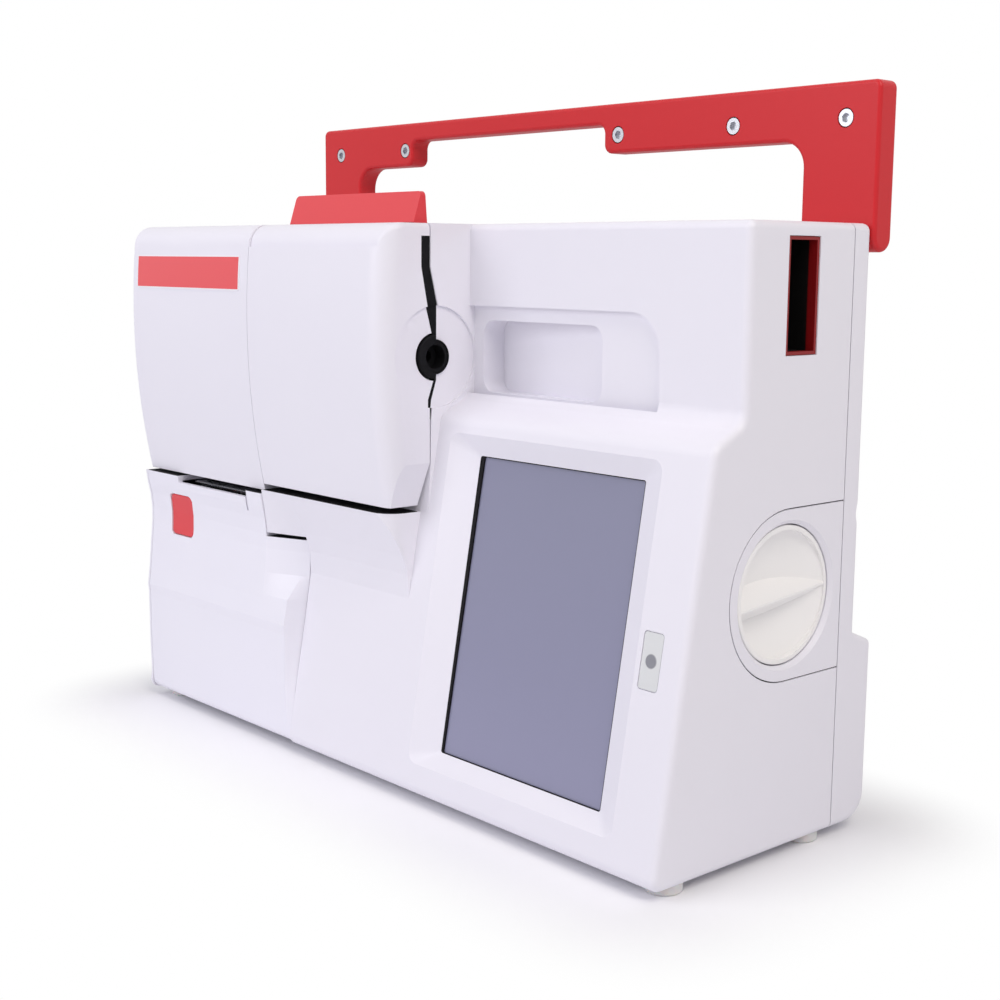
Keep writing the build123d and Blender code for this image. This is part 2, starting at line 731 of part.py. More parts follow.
def make_power_inlet():
    body = inlet_block(-seam, inlet_y - inlet_deep, inlet_y + 0.2)
    body += inlet_block(inlet_rim, inlet_y, inlet_y + inlet_flange)
    low = inlet_z - inlet_height / 2 + 13.0
    socket = outline([(inlet_x - 12, low - 8), (inlet_x + 12, low - 8), (inlet_x + 12, low + 4),
                      (inlet_x + 8, low + 8), (inlet_x - 8, low + 8), (inlet_x - 12, low + 4)])
    body -= prism_y(socket, inlet_y - 17, inlet_y + 2)
    for x, z in ((inlet_x - 7, low - 1.5), (inlet_x, low + 2.5), (inlet_x + 7, low - 1.5)):
        body += block(x - 1, x + 1, inlet_y - 18, inlet_y - 4, z - 2, z + 2)
    body -= block(inlet_x - 7, inlet_x + 7, rocker_y - 4.2, inlet_y + 3, rocker_z - 9.6, rocker_z + 9.6)
    body -= rod_x(rocker_y, rocker_z, 9.6, inlet_x - 7, inlet_x + 7) & block(
        inlet_x - 7, inlet_x + 7, rocker_y - 6.5, inlet_y + 3, rocker_z - 9.6, rocker_z + 9.6)
    body -= rod_x(rocker_y, rocker_z, 1.2 + fit, inlet_x - 9, inlet_x + 9)
    return body


def make_power_rocker():
    face = outline([(-3, -4), (-3, 4), (0.6, rocker_half), (2.6, rocker_half), (1.2, 0),
                    (2.6, -rocker_half), (0.6, -rocker_half)])
    turned = Pos(rocker_y, rocker_z) * Rot(0, 0, 8) * face
    rocker = prism_x(turned, inlet_x - 6.7, inlet_x + 6.7)
    return rocker + rod_x(rocker_y, rocker_z, 1.2, inlet_x - 8.6, inlet_x + 8.6)


def make_fan_frame():
    y1 = rear_inner_y
    y0 = y1 - fan_deep
    half = fan_size / 2
    frame = prism_y(plate(fan_x - half, fan_x + half, fan_z - half, fan_z + half, 3.0), y0, y1)
    frame -= rod_y(fan_x, fan_z, 28.0, y0 - 1, y1 + 1)
    frame += rod_y(fan_x, fan_z, 9.0, y0, y0 + 2.0)
    for i in range(3):
        spoke = block(-1.5, 1.5, y0, y0 + 2.0, 8.0, 29.0)
        frame += Pos(fan_x, 0, fan_z) * Rot(0, 120 * i + 30, 0) * spoke
    for dx in (-25, 25):
        for dz in (-25, 25):
            frame -= rod_y(fan_x + dx, fan_z + dz, 2.1, y0 - 1, y1 + 1)
    frame -= rod_y(fan_x, fan_z, 1.5 + fit, y0 - 1, y0 + 3)
    return frame


def make_fan_rotor():
    y0 = rear_inner_y - fan_deep + 2.4
    y1 = rear_inner_y - 0.6
    rotor = rod_y(fan_x, fan_z, 11.0, y0, y1)
    blade = block(-1.0, 1.0, y0 + 0.6, y1 - 0.4, 10.0, 27.0)
    for i in range(7):
        rotor += Pos(fan_x, 0, fan_z) * Rot(0, 360 / 7 * i, 0) * blade
    return rotor + rod_y(fan_x, fan_z, 1.5, rear_inner_y - fan_deep + 0.2, y0)


def make_main_board():
    board = block(board_x0, board_x1, board_y, board_y + board_thick, board_z0, board_z1)
    for x in (board_x0 + 5, board_x1 - 5):
        for z in (board_z0 + 5, board_z1 - 5):
            board -= rod_y(x, z, 1.6, board_y - 1, board_y + 3)
    for x, z, width, height, deep in ((20, 180, 24, 24, 2.4), (62, 186, 16, 16, 1.8), (92, 160, 12, 20, 1.6),
                                      (20, 140, 34, 8, 3.0), (120, 200, 26, 7, 3.2), (62, 150, 10, 10, 1.6)):
        board += block(x - width / 2, x + width / 2, board_y - deep, board_y, z - height / 2, z + height / 2)
    return board


save("battery_cover", make_battery_cover())
battery = block(battery_x0 + 0.5, battery_x1 - 0.5, battery_front_y, rear_low_y - battery_plate,
                battery_z0 + 0.5, battery_z1 - 0.5)
save("battery_pack", fillet(battery.edges().filter_by(Axis.Y), 3.0))
save("rear_ports", make_rear_ports())
save("power_inlet", make_power_inlet())
save("power_rocker", make_power_rocker())
save("fan_frame", make_fan_frame())
save("fan_rotor", make_fan_rotor())
save("main_board", make_main_board())


# Handle

def handle_face():
    thick_low = handle_top_z - handle_bar
    thin_low = handle_top_z - handle_thin_bar
    points = [(handle_x0, handle_pivot_z), (handle_x0, handle_top_z), (handle_x1, handle_top_z),
              (handle_x1, handle_pivot_z), (arm_x1, handle_pivot_z), (arm_x1, thick_low),
              (handle_thin_right, thick_low), (handle_thin_right, thin_low), (handle_thin_left, thin_low),
              (handle_thin_left, thick_low), (arm_x0, thick_low), (arm_x0, handle_pivot_z)]
    return outline(points, [0, 3, 3, 0, 0, 10, 4, 4, 4, 4, 10, 0])


handle_y0 = pivot_y - handle_thick / 2
handle_y1 = pivot_y + handle_thick / 2
handle_split_y = handle_y0 + handle_split
core_y0 = handle_y0 + 3.4
core_inset = 2.7


def make_handle():
    handle = prism_y(handle_face(), handle_y0, handle_y1)
    for a, b in ((handle_x0, arm_x0), (arm_x1, handle_x1)):
        handle += rod_x(pivot_y, handle_pivot_z, handle_thick / 2, a, b)
    rim = []
    for e in handle.edges():
        box = e.bounding_box()
        flat = box.size.Y < 0.01 and (abs(box.min.Y - handle_y0) < 0.01 or abs(box.min.Y - handle_y1) < 0.01)
        seam_line = abs(box.min.Z - handle_pivot_z) < 0.01 and box.size.Z < 0.01
        end = box.size.X < 0.01 and box.min.Z < handle_pivot_z - 1
        if (flat and not seam_line) or end:
            rim.append(e)
    return fillet(rim, handle_round)


def core_outline(inset):
    face = offset(handle_face(), amount=-inset, kind=Kind.INTERSECTION)
    keep = Pos(0, handle_pivot_z + 8 + 50) * Rectangle(2 * case_width, 100)
    return face & keep


handle = make_handle()
slab = block(-case_width, case_width, handle_y0 - 1, handle_split_y, 200, handle_top_z + 1)
handle_front_shell = handle & slab
handle_rear_shell = handle - slab
handle_front_shell -= prism_y(core_outline(core_inset), core_y0, handle_split_y + 1)
handle_core = prism_y(core_outline(core_inset + 0.1), core_y0, handle_split_y)
pin_reach = 20.0
handle_pins = []
handle_screws = []
for a, b in ear_spans:
    x0 = a - pin_reach if a < 0 else a
    x1 = b if a < 0 else b + pin_reach
    handle_pins.append(rod_x(pivot_y, handle_pivot_z, handle_pin_r, x0, x1))
    bore = rod_x(pivot_y, handle_pivot_z, handle_pin_r + fit, x0 - 0.5, x1 + 0.5)
    handle_front_shell -= bore
    handle_rear_shell -= bore
for x in handle_screw_xs:
    z = handle_screw_z
    screw = rod_y(x, z, handle_screw_r, handle_y0 + 0.15, handle_y0 + 2.6)
    screw += rod_y(x, z, 1.6, handle_y0 + 2.6, handle_y1 - 1.2)
    screw -= prism_y(Pos(x, z) * RegularPolygon(1.9, 6), handle_y0, handle_y0 + 1.8)
    handle_screws.append(screw)
    handle_front_shell -= rod_y(x, z, handle_screw_r + 0.1, handle_y0 - 1, handle_y0 + 2.6)
    handle_front_shell -= rod_y(x, z, 1.7, handle_y0, handle_split_y + 1)
    handle_core -= rod_y(x, z, 1.7, core_y0 - 1, handle_split_y + 1)
    handle_rear_shell -= rod_y(x, z, 1.7, handle_split_y - 1, handle_y1 - 1.1)
save("handle_front_shell", handle_front_shell)
save("handle_rear_shell", handle_rear_shell)
save("handle_core", handle_core)
save("handle_pins", Compound(handle_pins))
save("handle_screws", Compound(handle_screws))


# Upper covers

def bow_face(bottom_z, rear_points):
    """The side outline of an upper cover: bowed in front, the given points behind, from the top down."""
    far = cover_front_y - 10
    box = outline([(far, bottom_z), (far, case_top)] + rear_points)
    return box & (Pos(cover_front_y + cover_bow_r, cover_bow_z) * Circle(cover_bow_r))


def front_top_edge(solid):
    """The edge along X where a cover's bow meets its top."""
    edges = [e for e in solid.edges() if abs(e.center().Z - case_top) < 0.01]
    return [e for e in edges if abs(e.center().Y - bow_y(case_top)) < 0.1]


def bow_edge(solid, x):
    """The curved edge of the bow on the side at x."""
    edges = [e for e in solid.edges() if abs(e.center().X - x) < 0.01 and e.bounding_box().size.Z > 50]
    return sorted(edges, key=lambda e: e.center().Y)[:1]


def make_printer_cover():
    x0 = left
    x1 = split_x - seam / 2
    rear = [(cover_rear_y, case_top), (cover_rear_y, cover_lean_z), (-40.2, printer_cover_bottom_z)]
    body = prism_x(bow_face(printer_cover_bottom_z, rear), x0, x1)
    body = fillet(front_top_edge(body), cover_top_round)
    side = [e for e in body.edges() if abs(e.center().X - x0) < 0.01 and e.center().Y < cover_rear_y - 1]
    body = fillet([e for e in side if abs(e.center().Z - printer_cover_bottom_z) > 0.01], edge_round)
    far = cover_front_y + cover_wall
    low = printer_cover_bottom_z + cover_wall
    high = case_top - cover_wall
    room = outline([(far, low), (far, high), (cover_rear_y + 1, high), (cover_rear_y + 1, low)])
    room &= Pos(cover_front_y + cover_bow_r, cover_bow_z) * Circle(cover_bow_r - cover_wall)
    hollow = prism_x(room, x0 + cover_wall, x1 - cover_wall)
    corner = [e for e in hollow.edges() if abs(e.center().Z - case_top + cover_wall) < 0.01]
    corner = [e for e in corner if e.center().Y < -55 and e.bounding_box().size.X > 50]
    hollow = fillet(corner, cover_top_round - cover_wall)
    return body - hollow


label_x0 = left + 6.7
label_x1 = split_x - 6.5
label_low_z = 207.5
label_high_z = 223.0
label_thick = 0.4


def make_label_plate():
    face = plate(label_x0, label_x1, label_low_z, label_high_z, 1.0)
    face = prism_y(face, cover_front_y - 2, cover_front_y + 6)
    axis_y = cover_front_y + cover_bow_r
    band = rod_x(axis_y, cover_bow_z, cover_bow_r + label_thick, label_x0 - 1, label_x1 + 1)
    band -= rod_x(axis_y, cover_bow_z, cover_bow_r, label_x0 - 2, label_x1 + 2)
    return face & band


save("printer_cover", make_printer_cover())
save("label_plate", make_label_plate())

ear_reach = 2.5
ear_gap = 0.5
ear_r = 2.6
catch_y = -42.6
catch_z = 220.6
catch_r = 1.2
rib_spans = ((chamber_x0, chamber_x0 + 2), (spring_x - 1, spring_x + 1), (chamber_x1 - 3, chamber_x1 - 1))
pad_x0 = -40.0
pad_x1 = -4.0
pad_z0 = 160.0
pad_z1 = 206.0
pad_front_y = -46.0
pad_rear_y = -41.5
block_face_y = -40.6
cover_x0 = split_x + seam / 2
cover_bottom_rear_y = -41.5


def chamber_cover_rear():
    points = [(cover_rear_y, case_top)]
    points += [(cover_rear_y + back, z) for back, z in cover_steps]
    return points + [(cover_bottom_rear_y, cover_bottom_z)]


def crown(inset):
    """A block whose top front edge has the covers' round, drawn in by the inset."""
    top = case_top - inset
    face = outline([(cover_front_y - 5, cover_bottom_z), (bow_y(case_top) + inset, cover_bottom_z),
                    (bow_y(case_top) + inset, top), (0, top), (0, cover_bottom_z - 1),
                    (cover_front_y - 5, cover_bottom_z - 1)],
                   [0, 0, cover_top_round - inset, 0, 0, 0])
    low = block(split_x - 5, block_x + 5, cover_front_y - 5, 0, cover_bottom_z - 1, top - cover_top_round)
    return prism_x(face, split_x - 5, block_x + 5) + low


def make_chamber_cover():
    body = prism_x(bow_face(cover_bottom_z, chamber_cover_rear()), cover_x0, block_x)
    lean_x = block_x - cover_lean_x
    lean_cut = outline([(block_x + 1, cover_lean_z), (block_x, cover_lean_z), (lean_x, cover_bottom_z),
                        (lean_x, cover_bottom_z - 1), (block_x + 1, cover_bottom_z - 1)])
    body = fillet(bow_edge(body, block_x), cover_top_round)
    body &= crown(0.0)
    top = [e for e in body.edges() if abs(e.center().Z - case_top) < 0.01]
    body = fillet([e for e in top if abs(e.center().X - block_x) < 0.01], cover_edge_round)
    body -= prism_y(lean_cut, -80, -30)
    outer = body

    far = cover_front_y + cover_wall
    room = outline([(far, cover_bottom_z + cover_wall), (far, case_top - cover_wall),
                    (cover_rear_y + 5, case_top - cover_wall),
                    (cover_rear_y + 5, cover_bottom_z + cover_wall)])
    room &= Pos(cover_front_y + cover_bow_r, cover_bow_z) * Circle(cover_bow_r - cover_wall)
    hollow = prism_x(room, cover_x0 + cover_wall, block_x - cover_wall)
    hollow = fillet(bow_edge(hollow, block_x - cover_wall), cover_top_round - cover_wall)
    hollow &= crown(cover_wall)
    hollow -= prism_y(Pos(-cover_wall, 0) * lean_cut, -80, -30)
    body -= hollow

    # Dish for the sample port, ears, catch ribs and the notch behind which the latch stands
    x0 = block_x - dish_depth
    body += rod_x(port_y, port_z, dish_r + cover_wall, x0 - cover_wall, block_x) & outer
    body -= rod_x(port_y, port_z, dish_r, x0, block_x + 1)
    body -= rod_x(port_y, port_z, port_ring_r + 0.8, x0 - 2 * cover_wall, block_x)
    for a, b in cover_lugs:
        body -= block(a - ear_gap, b + ear_gap, -55.2, -38.0, cover_bottom_z - 1, cover_bottom_z + 3)
        body -= rod_x(cover_hinge_y, cover_hinge_z, 2.7, a - ear_gap, b + ear_gap)
        for c, d in ((a - ear_gap - ear_reach, a - ear_gap), (b + ear_gap, b + ear_gap + ear_reach)):
            ear = rod_x(cover_hinge_y, cover_hinge_z, ear_r, c, d)
            ear += block(c, d, cover_hinge_y - ear_r - 1, cover_hinge_y, cover_bottom_z + 1,
                         cover_hinge_z + ear_r)
            body += ear & outer
            body -= rod_x(cover_hinge_y, cover_hinge_z, cover_pin_r + fit, c - 1, d + 1)
    rib = outline([(-61, 212), (-61, 223), (-41.2, 222), (-41.2, 218.6), (-50, 212)])
    for a, b in rib_spans:
        body += prism_x(rib, a, b)
    body -= rod_x(catch_y, catch_z, catch_r + fit, rib_spans[0][0] - 1, rib_spans[-1][1] + 1)
    gap = latch_gap - seam / 2
    body -= block(latch_x0 - gap, latch_x1 + gap, cover_notch_y, -30, chamber_high_z + 12, case_top + 1)

    # Bosses that the pressure pad's pins slide in
    for x, z in pad_pins():
        boss = rod_y(x, z, 4.5, cover_front_y + 1.5, pad_front_y - 8) & outer
        body += boss
        body -= rod_y(x, z, 2.5 + fit, cover_front_y + 4.0, pad_front_y)
    return body


def pad_pins():
    x = (pad_x0 + pad_x1) / 2
    z = (pad_z0 + pad_z1) / 2
    return ((x - 12, z - 16), (x + 12, z - 16), (x - 12, z + 16), (x + 12, z + 16))


def make_pressure_pad():
    pad = prism_y(plate(pad_x0, pad_x1, pad_z0, pad_z1, 3.0), pad_front_y, pad_rear_y)
    for x, z in pad_pins():
        pad += rod_y(x, z, 2.5, pad_front_y - 12.0, pad_front_y)
    return pad


chamber_cover = make_chamber_cover()
save("chamber_cover", chamber_cover)
save("cover_catch", rod_x(catch_y, catch_z, catch_r, rib_spans[0][0], rib_spans[-1][1]))
save("pressure_pad", make_pressure_pad())


# Release latch
latch_root_z = case_top + 0.4
spring_r = 2.2
spring_gap = 0.3
tail_z0 = 224.0
hook_spans = ((latch_x0 + 13.4, latch_x0 + 23.4), (latch_x1 - 20.3, latch_x1 - 10.3))


def make_release_latch():
    blade = outline([(latch_root_front_y, latch_root_z),
                     (latch_root_front_y + latch_root_thick, latch_root_z),
                     (latch_tip_front_y + latch_tip_thick, latch_top_z), (latch_tip_front_y, latch_top_z)])
    stem = outline([(-42.0, 237.0), (-35.0, 237.0), (-32.9, 232.0), (-31.5, latch_pivot_z), (-36.5, 226.0),
                    (-37.5, 230.0)])
    latch = prism_x(blade, latch_x0, latch_x1)
    ends = [e for e in latch.edges() if abs(e.center().Z - latch_top_z) < 0.01]
    latch = fillet([e for e in ends if e.bounding_box().size.X < 0.1], 2.0)
    latch += prism_x(stem, latch_x0, latch_x1)
    latch += rod_x(latch_pivot_y, latch_pivot_z, latch_barrel_r, latch_x0, latch_x1)
    hook = outline([(-36.0, 229.5), (-45.5, 226.5), (-45.5, 222.8), (-44.0, 222.8), (-44.0, 225.2),
                    (-36.0, 226.5)])
    for a, b in hook_spans:
        latch += prism_x(hook, a, b)
    tail = outline([(-33.5, 230.0), (-24.0, 227.0), (-24.0, tail_z0), (-29.0, tail_z0), (-33.5, 226.0)])
    latch += prism_x(tail, spring_x - 5, spring_x + 5)
    return latch - rod_x(latch_pivot_y, latch_pivot_z, latch_pin_r + fit, latch_x0 - 1, latch_x1 + 1)


def make_latch_spring():
    """A wound compression spring on its seat under the latch's tail."""
    height = tail_z0 - spring_gap - spring_seat_z
    wire = 0.35
    coil = Helix(pitch=height / 5.5, height=height - 2 * wire, radius=spring_r - wire)
    wound = sweep(Plane(coil @ 0, z_dir=coil % 0) * Circle(wire), path=coil)
    return Pos(spring_x, spring_y, spring_seat_z + wire) * wound


save("release_latch", make_release_latch())
save("latch_spring", make_latch_spring())


def make_hinge_pins():
    """The pins of the chamber cover, the latch and the paper door."""
    pins = []
    reach = ear_gap + ear_reach
    for a, b in cover_lugs:
        pins.append(rod_x(cover_hinge_y, cover_hinge_z, cover_pin_r, a - reach, b + reach))
    reach = latch_gap + lug_thick - 0.2
    pins.append(rod_x(latch_pivot_y, latch_pivot_z, latch_pin_r, latch_x0 - reach, latch_x1 + reach))
    pins.append(rod_x(door_hinge_y, door_hinge_z, door_pin_r, left + 0.4, door_left_x + 3.3))
    pins.append(rod_x(door_hinge_y, door_hinge_z, door_pin_r, door_right_x - 3.1, door_seam_x + 3.5))
    return Compound(pins)


save("hinge_pins", make_hinge_pins())


# Sample path
tube_x0 = 8.0
port_tip_x = block_x - 0.4
port_bore_length = 6.0
gasket_ring = (block_x - 7.0, block_x)
gasket_x0 = block_x - 4.5
gasket_x1 = block_x - 0.6
block_z0 = 150.0
block_z1 = 212.0
block_rear_y = -20.0
block_x0 = -50.0
cassette_x0 = -42.0
cassette_x1 = 0.0
cassette_z0 = 158.0
cassette_z1 = 206.0
cassette_deep = 6.0
window_places = ((-31.0, 170.0), (-21.0, 170.0), (-11.0, 170.0), (-31.0, 190.0), (-21.0, 190.0),
                 (-11.0, 190.0))


def gasket_seat(r):
    """A rounded disc of the ring round the sample port."""
    seat = rod_x(port_y, port_z, r, *gasket_ring)
    return fillet([e for e in seat.edges() if abs(e.center().X - gasket_ring[1]) < 0.01], 0.6)


def make_chamber_gasket():
    """A strip in the split between cover and case, with a ring that is larger on the cover's side."""
    behind = [(-38.6, 231.4), (-38.6, 219.0), (-34.6, 203.0), (-34.6, 173.0), (-37.2, 165.0), (-38.2, 157.0)]
    before = [(-38.6, 157.0), (-38.6, 165.0), (-35.7, 173.0), (-35.7, 175.0), (-36.7, 192.0), (-39.7, 202.5),
              (-43.1, 219.0), (-43.1, 231.4)]
    gasket = prism_x(outline(behind + before), gasket_x0, gasket_x1)
    gasket -= rod_x(port_y, port_z, dish_r, block_x - dish_depth, block_x + 1)
    gasket += gasket_seat(port_rear_r)
    gasket += gasket_seat(port_ring_r) & block(*gasket_ring, -60, port_y, 0, case_top)
    return gasket - rod_x(port_y, port_z, port_tube_r + 0.1, gasket_ring[0] - 1, gasket_ring[1] + 1)


def make_sample_port():
    port = rod_x(port_y, port_z, port_tube_r, tube_x0, port_tip_x)
    port -= rod_x(port_y, port_z, port_bore_r, port_tip_x - port_bore_length, port_tip_x + 1)
    return port - rod_x(port_y, port_z, port_lumen_r, tube_x0 - 1, port_tip_x)


def make_chamber_block():
    body = block(block_x0, tube_x0, block_face_y, block_rear_y, block_z0, block_z1)
    body = fillet(body.edges().filter_by(Axis.Y), 2.0)
    body -= block(cassette_x0, cassette_x1, block_face_y - 1, block_face_y + cassette_deep, cassette_z0,
                  cassette_z1)
    body -= rod_x(port_y, port_z, port_lumen_r, cassette_x1 - 1, tube_x0 + 1)
    for x, z in window_places:
        body -= rod_y(x, z, 3.5 + fit, block_face_y, block_rear_y + 1)
    for x in (block_x0 + 5, tube_x0 - 5):
        for z in (block_z0 + 5, block_z1 - 5):
            body += rod_y(x, z, 4.0, block_rear_y - 1, chassis_y)
    return body


def make_chamber_windows():
    floor_y = block_face_y + cassette_deep
    return Compound([rod_y(x, z, 3.5, floor_y, floor_y + 1.5) for x, z in window_places])


def make_optics_module():
    x0 = cassette_x0 + 2
    x1 = cassette_x1 - 2
    body = block(x0, x1, block_rear_y, chassis_y - 4, cassette_z0 + 4, cassette_z1 - 4)
    body = fillet(body.edges().filter_by(Axis.Y), 2.0)
    body += block(x0 + 6, x1 - 6, chassis_y - 5, chassis_y, cassette_z0 + 10, cassette_z1 - 10)
    for x, z in window_places:
        body += rod_y(x, z, 3.2, block_face_y + cassette_deep + 5, block_rear_y + 1)
    return body


save("chamber_gasket", make_chamber_gasket())
save("sample_port", make_sample_port())
save("chamber_block", make_chamber_block())
save("chamber_windows", make_chamber_windows())
save("optics_module", make_optics_module())


def make_chassis_plate():
    x0 = left + 7.0
    x1 = block_x + 7.0
    body = block(x0, x1, chassis_y, chassis_y + chassis_thick, floor_z, 228.0)
    body += block(x0, x1, chassis_y, chassis_y + 20.0, floor_z, floor_z + chassis_thick)
    for x in (x0 + 30, (x0 + x1) / 2, x1 - 30):
        body -= prism_y(plate(x - 14, x + 14, 60.0, 120.0, 5.0), chassis_y - 1,
                        chassis_y + chassis_thick + 1)
    return body


# Peristaltic pump behind the printer cover
pump_half = 25.0
pump_front_y = -52.6
pump_wall = 2.0
pump_bore_r = 23.0
pump_rotor_r = 17.5
pump_shaft_r = 3.0
motor_front_y = block_front_y + wall


def make_pump_housing():
    body = block(shaft_x - pump_half, shaft_x + pump_half, pump_front_y, block_front_y, pump_z - pump_half,
                 pump_z + pump_half)
    body = fillet(body.edges().filter_by(Axis.Y), 4.0)
    body -= rod_y(shaft_x, pump_z, pump_bore_r, pump_front_y - 1, block_front_y - pump_wall)
    body -= rod_y(shaft_x, pump_z, pump_shaft_r + 1.0, pump_front_y - 1, block_front_y + 1)
    for x in (shaft_x - 21, shaft_x + 21):
        body -= block(x - 2, x + 2, pump_front_y + 3, pump_front_y + 8, pump_z - pump_half - 1, pump_z)
    return body


def make_pump_rotor():
    y0 = pump_front_y + 1
    y1 = block_front_y - pump_wall - 0.5
    rotor = rod_y(shaft_x, pump_z, 13.0, y0, y0 + 1.6) + rod_y(shaft_x, pump_z, 13.0, y1 - 1.6, y1)
    rotor += rod_y(shaft_x, pump_z, 7.0, y0, y1)
    for i in range(3):
        a = radians(90 + 120 * i)
        rotor += rod_y(shaft_x + 13 * cos(a), pump_z + 13 * sin(a), pump_rotor_r - 13, y0, y1)
    return rotor + rod_y(shaft_x, pump_z, pump_shaft_r, y1, motor_front_y + 10)


def make_pump_motor():
    body = rod_y(shaft_x, pump_z, 14.0, motor_front_y, motor_front_y + 28)
    body += rod_y(shaft_x, pump_z, 4.9, motor_front_y - 2.5, motor_front_y + 1)
    body += rod_y(shaft_x, pump_z, 4.0, motor_front_y + 27, motor_front_y + 31)
    return body - rod_y(shaft_x, pump_z, pump_shaft_r + fit, motor_front_y - 3, motor_front_y + 11)


def make_valve_manifold():
    x0 = shaft_x - 37
    x1 = shaft_x + 37
    body = block(x0, x1, block_front_y - 8, block_front_y, 141.0, 152.0)
    for i in range(4):
        x = x0 + 10 + i * 18
        body += rod_y(x, 146.5, 4.6, block_front_y - 18, block_front_y - 7)
        body += rod_z(x, block_front_y - 4, 1.6, 151.0, 155.0)
    return body


save("chassis_plate", make_chassis_plate())
save("pump_housing", make_pump_housing())
save("pump_rotor", make_pump_rotor())
save("pump_motor", make_pump_motor())
save("valve_manifold", make_valve_manifold())


# Display, status window and reader

def make_touch_glass():
    start = glass_depth + rim_thick
    return slope_block(glass_plate(glass_lap), start, start + glass_thick)


def make_status_window():
    x0 = window_x - window_width / 2
    z0 = window_mid_s - window_height / 2
    pane = slope_block(plate(x0, x0 + window_width, z0, z0 + window_height, 1.2), 0.15, window_depth)
    return pane + slope_block(Pos(window_x, window_mid_s) * Circle(2.5), 0.05, wall + 3.0)


save("touch_glass", make_touch_glass())
save("display_panel", slope_block(glass_plate(glass_lap + 2.5), boss_depth, boss_depth + lcd_thick))
save("status_window", make_status_window())

liner_gap = 0.2
liner_flange = 2.0
liner_x0 = right - reader_deep
scan_x0 = liner_x0 - 28.0


def make_reader_liner():
    y0 = reader_y - reader_width / 2 + liner_gap
    y1 = reader_y + reader_width / 2 - liner_gap
    z0 = reader_low_z + liner_gap
    z1 = reader_high_z - liner_gap
    body = block(liner_x0 - reader_wall, right - 0.4, y0, y1, z0, z1)
    flange = right - wall
    body += block(flange - reader_wall, flange, y0 - liner_flange, y1 + liner_flange, z0 - liner_flange,
                  z1 + liner_flange)
    body -= block(liner_x0, right + 1, y0 + reader_wall, y1 - reader_wall, z0 + reader_wall,
                  z1 - reader_wall)
    middle = (z0 + z1) / 2
    return body - block(liner_x0 - 2, liner_x0 + 1, reader_y - 4, reader_y + 4, middle - 10, middle + 10)


def make_reader_module():
    x1 = liner_x0 - reader_wall
    middle = (reader_low_z + reader_high_z) / 2
    body = block(scan_x0, x1, reader_y - 8, reader_y + 8, middle - 18, middle + 18)
    body = fillet(body.edges().filter_by(Axis.X), 2.0)
    return body + block(x1 - 1, x1 + 0.8, reader_y - 3.8, reader_y + 3.8, middle - 9.8, middle + 9.8)


save("reader_liner", make_reader_liner())
save("reader_module", make_reader_module())


# Gas bottle in its bay
bay_inner_x = right - wall
knob_x0 = right - knob_recess - knob_thick + 0.1
knob_x1 = knob_x0 + knob_thick
collar_x1 = knob_x0 - 0.5
collar_x0 = collar_x1 - collar_length
bottle_x0 = collar_x1 - bottle_length - 6.0
neck_x0 = bottle_x0 - 13.0
sleeve_x0 = right - wall - sleeve_length
nozzle_r = 3.0


def make_bottle_bay():
    bay = prism_x(keyhole(0.0), bay_inner_x, right)
    bay += prism_x(keyhole(2.5), bay_inner_x - 2.0, bay_inner_x)
    bay += rod_x(bay_y, bay_z, bay_bore_r + sleeve_wall, sleeve_x0, right - 1)
    bay -= rod_x(bay_y, bay_z, bay_bore_r, sleeve_x0 + sleeve_wall, right + 1)
    bay -= rod_x(bay_y, bay_z, nozzle_r + 1.0, sleeve_x0 - 1, sleeve_x0 + 3)
    mouth = Plane(origin=(right, bay_y, bay_z), x_dir=(0, 1, 0), z_dir=(1, 0, 0))
    narrow = mouth.offset(-1.5) * Circle(bay_bore_r)
    broad = mouth.offset(0.01) * Circle(bay_rim_r)
    return bay - loft([narrow, broad], ruled=True)


def make_bottle_regulator():
    x1 = sleeve_x0
    body = block(x1 - 22, x1, bay_y - 14, bay_y + 14, bay_z - 16, bay_z + 16)
    body = fillet(body.edges().filter_by(Axis.X), 3.0)
    body += rod_x(bay_y, bay_z, nozzle_r, x1 - 1, neck_x0 + 6)
    return body + rod_z(x1 - 11, bay_y, 4.0, bay_z + 15, bay_z + 26)


def turn_x(points):
    """A solid of revolution about the bottle's axis, from (x, radius) points."""
    profile = make_face(Polyline(*points, close=True))
    return Pos(0, bay_y, bay_z) * revolve(profile, Axis.X)


def make_gas_bottle():
    bottle = turn_x([(neck_x0, 3.3), (neck_x0, bottle_neck_r), (neck_x0 + 6, bottle_neck_r),
                     (bottle_x0, bottle_r), (collar_x1, bottle_r), (collar_x1, 0), (neck_x0 + 9, 0),
                     (neck_x0 + 9, 3.3)])
    shoulder = [e for e in bottle.edges() if abs(e.center().X - bottle_x0) < 0.01]
    return fillet(shoulder, 5.0)


def make_bottle_collar():
    collar = rod_x(bay_y, bay_z, bay_bore_r - 0.08, collar_x0, collar_x1)
    return collar - rod_x(bay_y, bay_z, bottle_r + 0.08, collar_x0 - 1, collar_x1 + 1)


